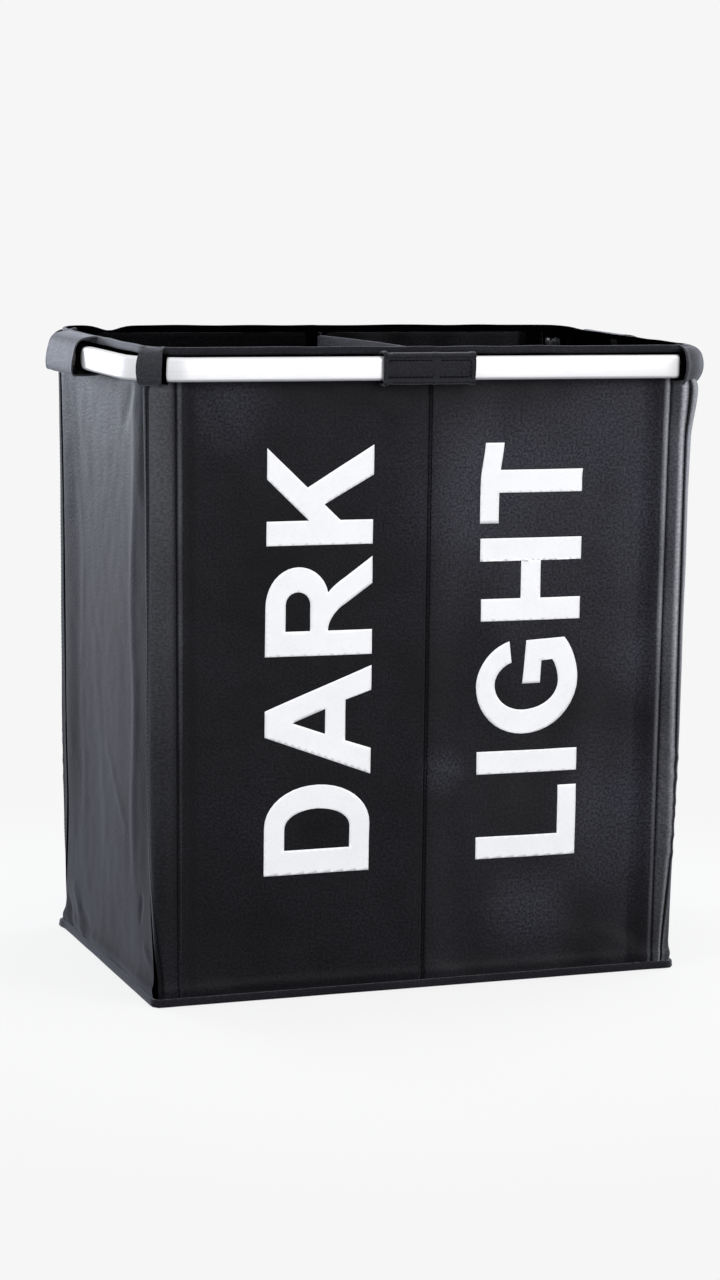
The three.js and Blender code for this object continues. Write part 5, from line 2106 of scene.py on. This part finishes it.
class HAMPER_OT_stitches(bpy.types.Operator):
    """Adds the rows of stitches on the seams, the hem and the binding"""

    bl_idname = "hamper.stitches"
    bl_label = "Stitches"

    def execute(self, context):
        sizes = context.scene.hamper_sizes
        shape = BagShape(sizes)
        used = materials()
        model = stitch_model(sizes)
        thread = used["thread"]
        top = sizes.bag_height
        hem_foot = top - sizes.hem_height
        heights = spaced(sizes.binding_height + SEAM_ROW_FOOT, hem_foot - SEAM_ROW_TOP, SEAM_ROW_STEP)
        for end_name, end in ENDS.items():
            for side_name, side in SIDES.items():
                for label in ("corner_seam", "channel_seam"):
                    places = []
                    for z in heights:
                        share = shape.thread_line(z, side) if label == "corner_seam" else 1.0
                        along = mix(shape.seam(z), shape.band_end(z), share)
                        places.append(shape.cloth_point(z, along, side, end, THREAD_LIFT))
                    sew(f"{end_name}_{side_name}_{label}_stitches", model, places, sizes, thread)
            places = []
            for z in heights:
                along = shape.quarter(z) - MIDDLE_ROW_IN
                places.append(shape.cloth_point(z, along, 1, end, THREAD_LIFT))
            sew(f"{end_name}_middle_seam_stitches", model, places, sizes, thread)
        for name, level, z, out_by in (
            ("hem_lower_stitches", top, hem_foot + HEM_ROW_RISE, HEM_ROW_OUT),
            ("binding_stitches", 0.0, BINDING_ROW_HEIGHT, BINDING_ROW_OUT),
        ):
            places = []
            for along, side, end in [*shape.round_outline(level, SEAM_ROW_STEP), (0.0, 1, 1)]:
                point, out = shape.base_point(level, along, side, end)
                places.append((Vector((point.x, point.y, z)) + out * out_by, out))
            sew(name, model, places, sizes, thread)
        self.strap_rows(sizes, model, thread)
        bpy.data.objects.remove(model, do_unlink=True)
        return {"FINISHED"}

    def strap_rows(self, sizes, model, thread):
        """Rows along the upper border of the wraps and round the borders of the sleeves."""
        side_middle = bar_lines(sizes)["side_middle"]
        wrap_low = side_middle + WRAP_START + WRAP_ROW_START
        wrap_high = side_middle + sizes.wrap_length - WRAP_ROW_END
        rise = SLEEVE_ROW_RISE
        for side_name, side in SIDES.items():
            body = f"{side_name}_handle"
            places = []
            for travel in spaced(wrap_low, wrap_high, WRAP_ROW_STEP):
                point, out = bar_place(sizes, side, travel)
                places.append((point + out * WRAP_ROW_OUT + Vector((0, 0, WRAP_ROW_HEIGHT)), out))
            sew(f"{side_name}_wrap_stitches", model, places, sizes, thread, body)
            tip = sizes.sleeve_length / 2 - side * SLEEVE_SHIFT - SLEEVE_ROW_IN
            outwards = spaced(SLEEVE_ROW_START, tip, SLEEVE_ROW_STEP)
            path = [(t, -rise) for t in outwards]
            path += [(tip, h) for h in spaced(-rise, rise, SLEEVE_ROW_TURN_STEP)[1:]]
            path += [(t, rise) for t in reversed(outwards[:-1])]
            for end_name, end in ENDS.items():
                places = []
                for travel, height in path:
                    point, out = bar_place(sizes, side, travel)
                    point = Vector((point.x, end * abs(point.y), point.z + height))
                    out = Vector((0, end, 0))
                    places.append((point + out * SLEEVE_ROW_OUT, out))
                name = f"{end_name}_sleeve_{side_name}_stitches"
                obj = sew(name, model, places, sizes, thread, None)
                sleeve_blend(obj, sizes, side_name, side, end)


# Finishes of the pieces that keep their solid

class HAMPER_OT_hardware(bpy.types.Operator):
    """Gives the hinge links, plugs, rivets, rods and caps their finishes"""

    bl_idname = "hamper.hardware"
    bl_label = "Hinge and rod finishes"

    def execute(self, context):
        used = materials()
        kinds = {
            "hinge_link": "plastic", "hinge_plug": "plastic", "hinge_pin": "steel", "support_rod": "steel",
            "foot_cap": "plastic", "top_cap": "plastic",
        }
        for name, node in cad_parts.items():
            for ending, key in kinds.items():
                if name.endswith(ending):
                    node.data.materials.clear()
                    node.data.materials.append(used[key])
        return {"FINISHED"}


# Stage

COOL_LIGHT = (0.86, 0.92, 1.0)
BLUE_LIGHT = (0.80, 0.86, 1.0)
FLOOR_BOUNCE = (0.22, 0.22, 0.23)
FLOOR_NEAR_SHARE = 0.85
FLOOR_SEEN_REACH = 0.85
FLOOR_GLOSS_REACH = 4.0
CAMERA_TARGET = (-6.59 * MM, 0.0, 306.35 * MM)
CAMERA_DISTANCE = 3068.93 * MM
CAMERA_AZIMUTH = 20.3
CAMERA_ELEVATION = 8.71
CAMERA_ROLL = 1.0
CAMERA_LENS = 88.57
CAMERA_SENSOR = 36.0
FLOOR_SIZE = 40.0
FLOOR_DROP = 0.3 * MM
FLOOR_FADE_START = 0.30
FLOOR_ROUGHNESS = 0.9
FLOOR_SPECULAR = 0.1
# Each lamp has a name, a place, the point it faces, its width and height in metres, its power in
# watts and its colour.
LAMPS = (
    ("left_rear", (-0.70, 1.02, 0.66), (-0.28, 0.0, 0.5), (0.5, 0.3), 7.0, BLUE_LIGHT),
    ("left_side", (-1.5, -0.9, 1.1), (-0.26, -0.14, 0.45), (0.7, 0.7), 7.0, COOL_LIGHT),
    ("front_top", (0.9, -1.4, 1.4), (0.1, -0.16, 0.42), (0.8, 0.7), 9.2, WHITE),
    ("front_low", (0.6, -2.2, 0.7), (0.0, -0.16, 0.35), (1.2, 1.0), 5.5, WHITE),
    ("right_side", (1.35, 0.25, 0.62), (0.27, -0.12, 0.42), (1.1, 0.7), 9.0, COOL_LIGHT),
)


def camera_axes():
    """The camera's right, up and backward directions, from the angles it looks along."""
    azimuth, elevation = math.radians(CAMERA_AZIMUTH), math.radians(CAMERA_ELEVATION)
    level = math.cos(elevation)
    back = Vector((-math.sin(azimuth) * level, -math.cos(azimuth) * level, math.sin(elevation)))
    right = Vector((math.cos(azimuth), -math.sin(azimuth), 0))
    up = back.cross(right)
    roll = math.radians(CAMERA_ROLL)
    rolled_right = right * math.cos(roll) + up * math.sin(roll)
    rolled_up = up * math.cos(roll) - right * math.sin(roll)
    return rolled_right, rolled_up, back


def area_lamp(name, place, target, size, power, tint):
    """A rectangular lamp that faces a point."""
    lamp = bpy.data.lights.new(name, "AREA")
    lamp.shape = "RECTANGLE"
    lamp.size, lamp.size_y = size
    lamp.energy = power
    lamp.color = tint
    obj = bpy.data.objects.new(name, lamp)
    obj.location = place
    obj.rotation_euler = (Vector(target) - Vector(place)).to_track_quat("-Z", "Y").to_euler()
    bpy.context.scene.collection.objects.link(obj)
    return obj


def seen_directly(tree):
    """1 for what the camera and mirrors see, and 0 for light that falls on the object."""
    rays = tree.nodes.new("ShaderNodeLightPath")
    direct = math_node(tree, "ADD", rays.outputs["Is Camera Ray"], rays.outputs["Is Glossy Ray"])
    return math_node(tree, "ADD", direct, rays.outputs["Is Transmission Ray"], clamp=True)


class HAMPER_OT_stage(bpy.types.Operator):
    """Adds the floor, the surroundings, the lamps and the camera"""

    bl_idname = "hamper.stage"
    bl_label = "Stage"

    def execute(self, context):
        scene = context.scene
        white = tuple(scene.hamper_colours.backdrop)
        scene.view_settings.view_transform = "Standard"
        self.floor(white)
        self.surroundings(scene, white)
        for lamp in LAMPS:
            area_lamp(*lamp)
        camera = bpy.data.cameras.new("Camera")
        camera.sensor_width = CAMERA_SENSOR
        camera.lens = CAMERA_LENS
        obj = bpy.data.objects.new("Camera", camera)
        right, up, back = camera_axes()
        turn = Matrix((right, up, back)).transposed().to_4x4()
        obj.matrix_world = Matrix.Translation(Vector(CAMERA_TARGET) + back * CAMERA_DISTANCE) @ turn
        scene.collection.objects.link(obj)
        scene.camera = obj
        return {"FINISHED"}

    def floor(self, white):
        """A pale floor that keeps the object's shadow near it and turns to the backdrop's colour
        further away."""
        clear_selection()
        bpy.ops.mesh.primitive_plane_add(size=FLOOR_SIZE, location=(0, 0, -FLOOR_DROP))
        obj = bpy.context.object
        obj.name = obj.data.name = "floor"
        material = bpy.data.materials.new("Pale floor")
        material.use_nodes = True
        tree = material.node_tree
        shader = tree.nodes["Principled BSDF"]
        seen = tree.nodes.new("ShaderNodeLightPath").outputs["Is Camera Ray"]
        tint = colour_mix(tree, seen, (*FLOOR_BOUNCE, 1.0), (*white, 1.0))
        tree.links.new(tint, shader.inputs["Base Color"])
        shader.inputs["Roughness"].default_value = FLOOR_ROUGHNESS
        shader.inputs["Specular IOR Level"].default_value = FLOOR_SPECULAR
        glow = add_node(tree, "Emission", {"Color": (*white, 1.0)})
        place = add_node(tree, "TexCoord", {}).outputs["Object"]
        distance = add_node(tree, "VectorMath", {0: place}, operation="LENGTH").outputs["Value"]
        near = math_node(tree, "MULTIPLY", seen, FLOOR_NEAR_SHARE)
        gained = FLOOR_SEEN_REACH - FLOOR_GLOSS_REACH
        reach = math_node(tree, "MULTIPLY_ADD", seen, gained, FLOOR_GLOSS_REACH)
        inputs = {"Value": distance, "From Min": FLOOR_FADE_START, "From Max": reach, "To Min": near}
        fade = add_node(tree, "MapRange", inputs, interpolation_type="SMOOTHSTEP")
        share = math_node(tree, "MULTIPLY", fade.outputs["Result"], seen_directly(tree))
        inputs = {"Fac": share, 1: shader.outputs["BSDF"], 2: glow.outputs["Emission"]}
        blend = add_node(tree, "MixShader", inputs)
        tree.links.new(blend.outputs["Shader"], tree.nodes["Material Output"].inputs["Surface"])
        obj.data.materials.append(material)
        obj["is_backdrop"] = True

    def surroundings(self, scene, white):
        """The backdrop's plain white all round."""
        world = bpy.data.worlds.new("Surroundings")
        scene.world = world
        world.use_nodes = True
        background = world.node_tree.nodes["Background"]
        background.inputs["Color"].default_value = (*white, 1.0)
        background.inputs["Strength"].default_value = 1.0


class HAMPER_PT_panel(bpy.types.Panel):
    """The hamper's pieces, sizes and colours"""

    bl_label = "Hamper"
    bl_idname = "HAMPER_PT_panel"
    bl_space_type = "VIEW_3D"
    bl_region_type = "UI"
    bl_category = "Hamper"

    def draw(self, context):
        for operator in OPERATORS:
            self.layout.operator(operator.bl_idname)
        for group in (context.scene.hamper_sizes, context.scene.hamper_colours):
            box = self.layout.box()
            for name in group.__annotations__:
                box.prop(group, name)


OPERATORS = (
    HAMPER_OT_stage, HAMPER_OT_walls, HAMPER_OT_hem, HAMPER_OT_divider, HAMPER_OT_channels,
    HAMPER_OT_tubes, HAMPER_OT_loops, HAMPER_OT_sleeves, HAMPER_OT_boards, HAMPER_OT_words,
    HAMPER_OT_stitches, HAMPER_OT_hardware,
)
CLASSES = (HamperSizes, HamperColours, *OPERATORS, HAMPER_PT_panel)


def register():
    for cls in CLASSES:
        bpy.utils.register_class(cls)
    bpy.types.Scene.hamper_sizes = PointerProperty(type=HamperSizes)
    bpy.types.Scene.hamper_colours = PointerProperty(type=HamperColours)


def unregister():
    del bpy.types.Scene.hamper_colours
    del bpy.types.Scene.hamper_sizes
    for cls in reversed(CLASSES):
        bpy.utils.unregister_class(cls)


def main():
    """Builds every piece around the frame."""
    register()
    bpy.ops.hamper.stage()
    bpy.ops.hamper.walls()
    bpy.ops.hamper.hem()
    bpy.ops.hamper.divider()
    bpy.ops.hamper.channels()
    bpy.ops.hamper.tubes()
    bpy.ops.hamper.loops()
    bpy.ops.hamper.sleeves()
    bpy.ops.hamper.boards()
    bpy.ops.hamper.words()
    bpy.ops.hamper.stitches()
    bpy.ops.hamper.hardware()
    boxes = {"cad": CAD_BOX, "visual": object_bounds()}
    plain = {key: [list(corner) for corner in box] for key, box in boxes.items()}


if __name__ == "__main__":
    main()
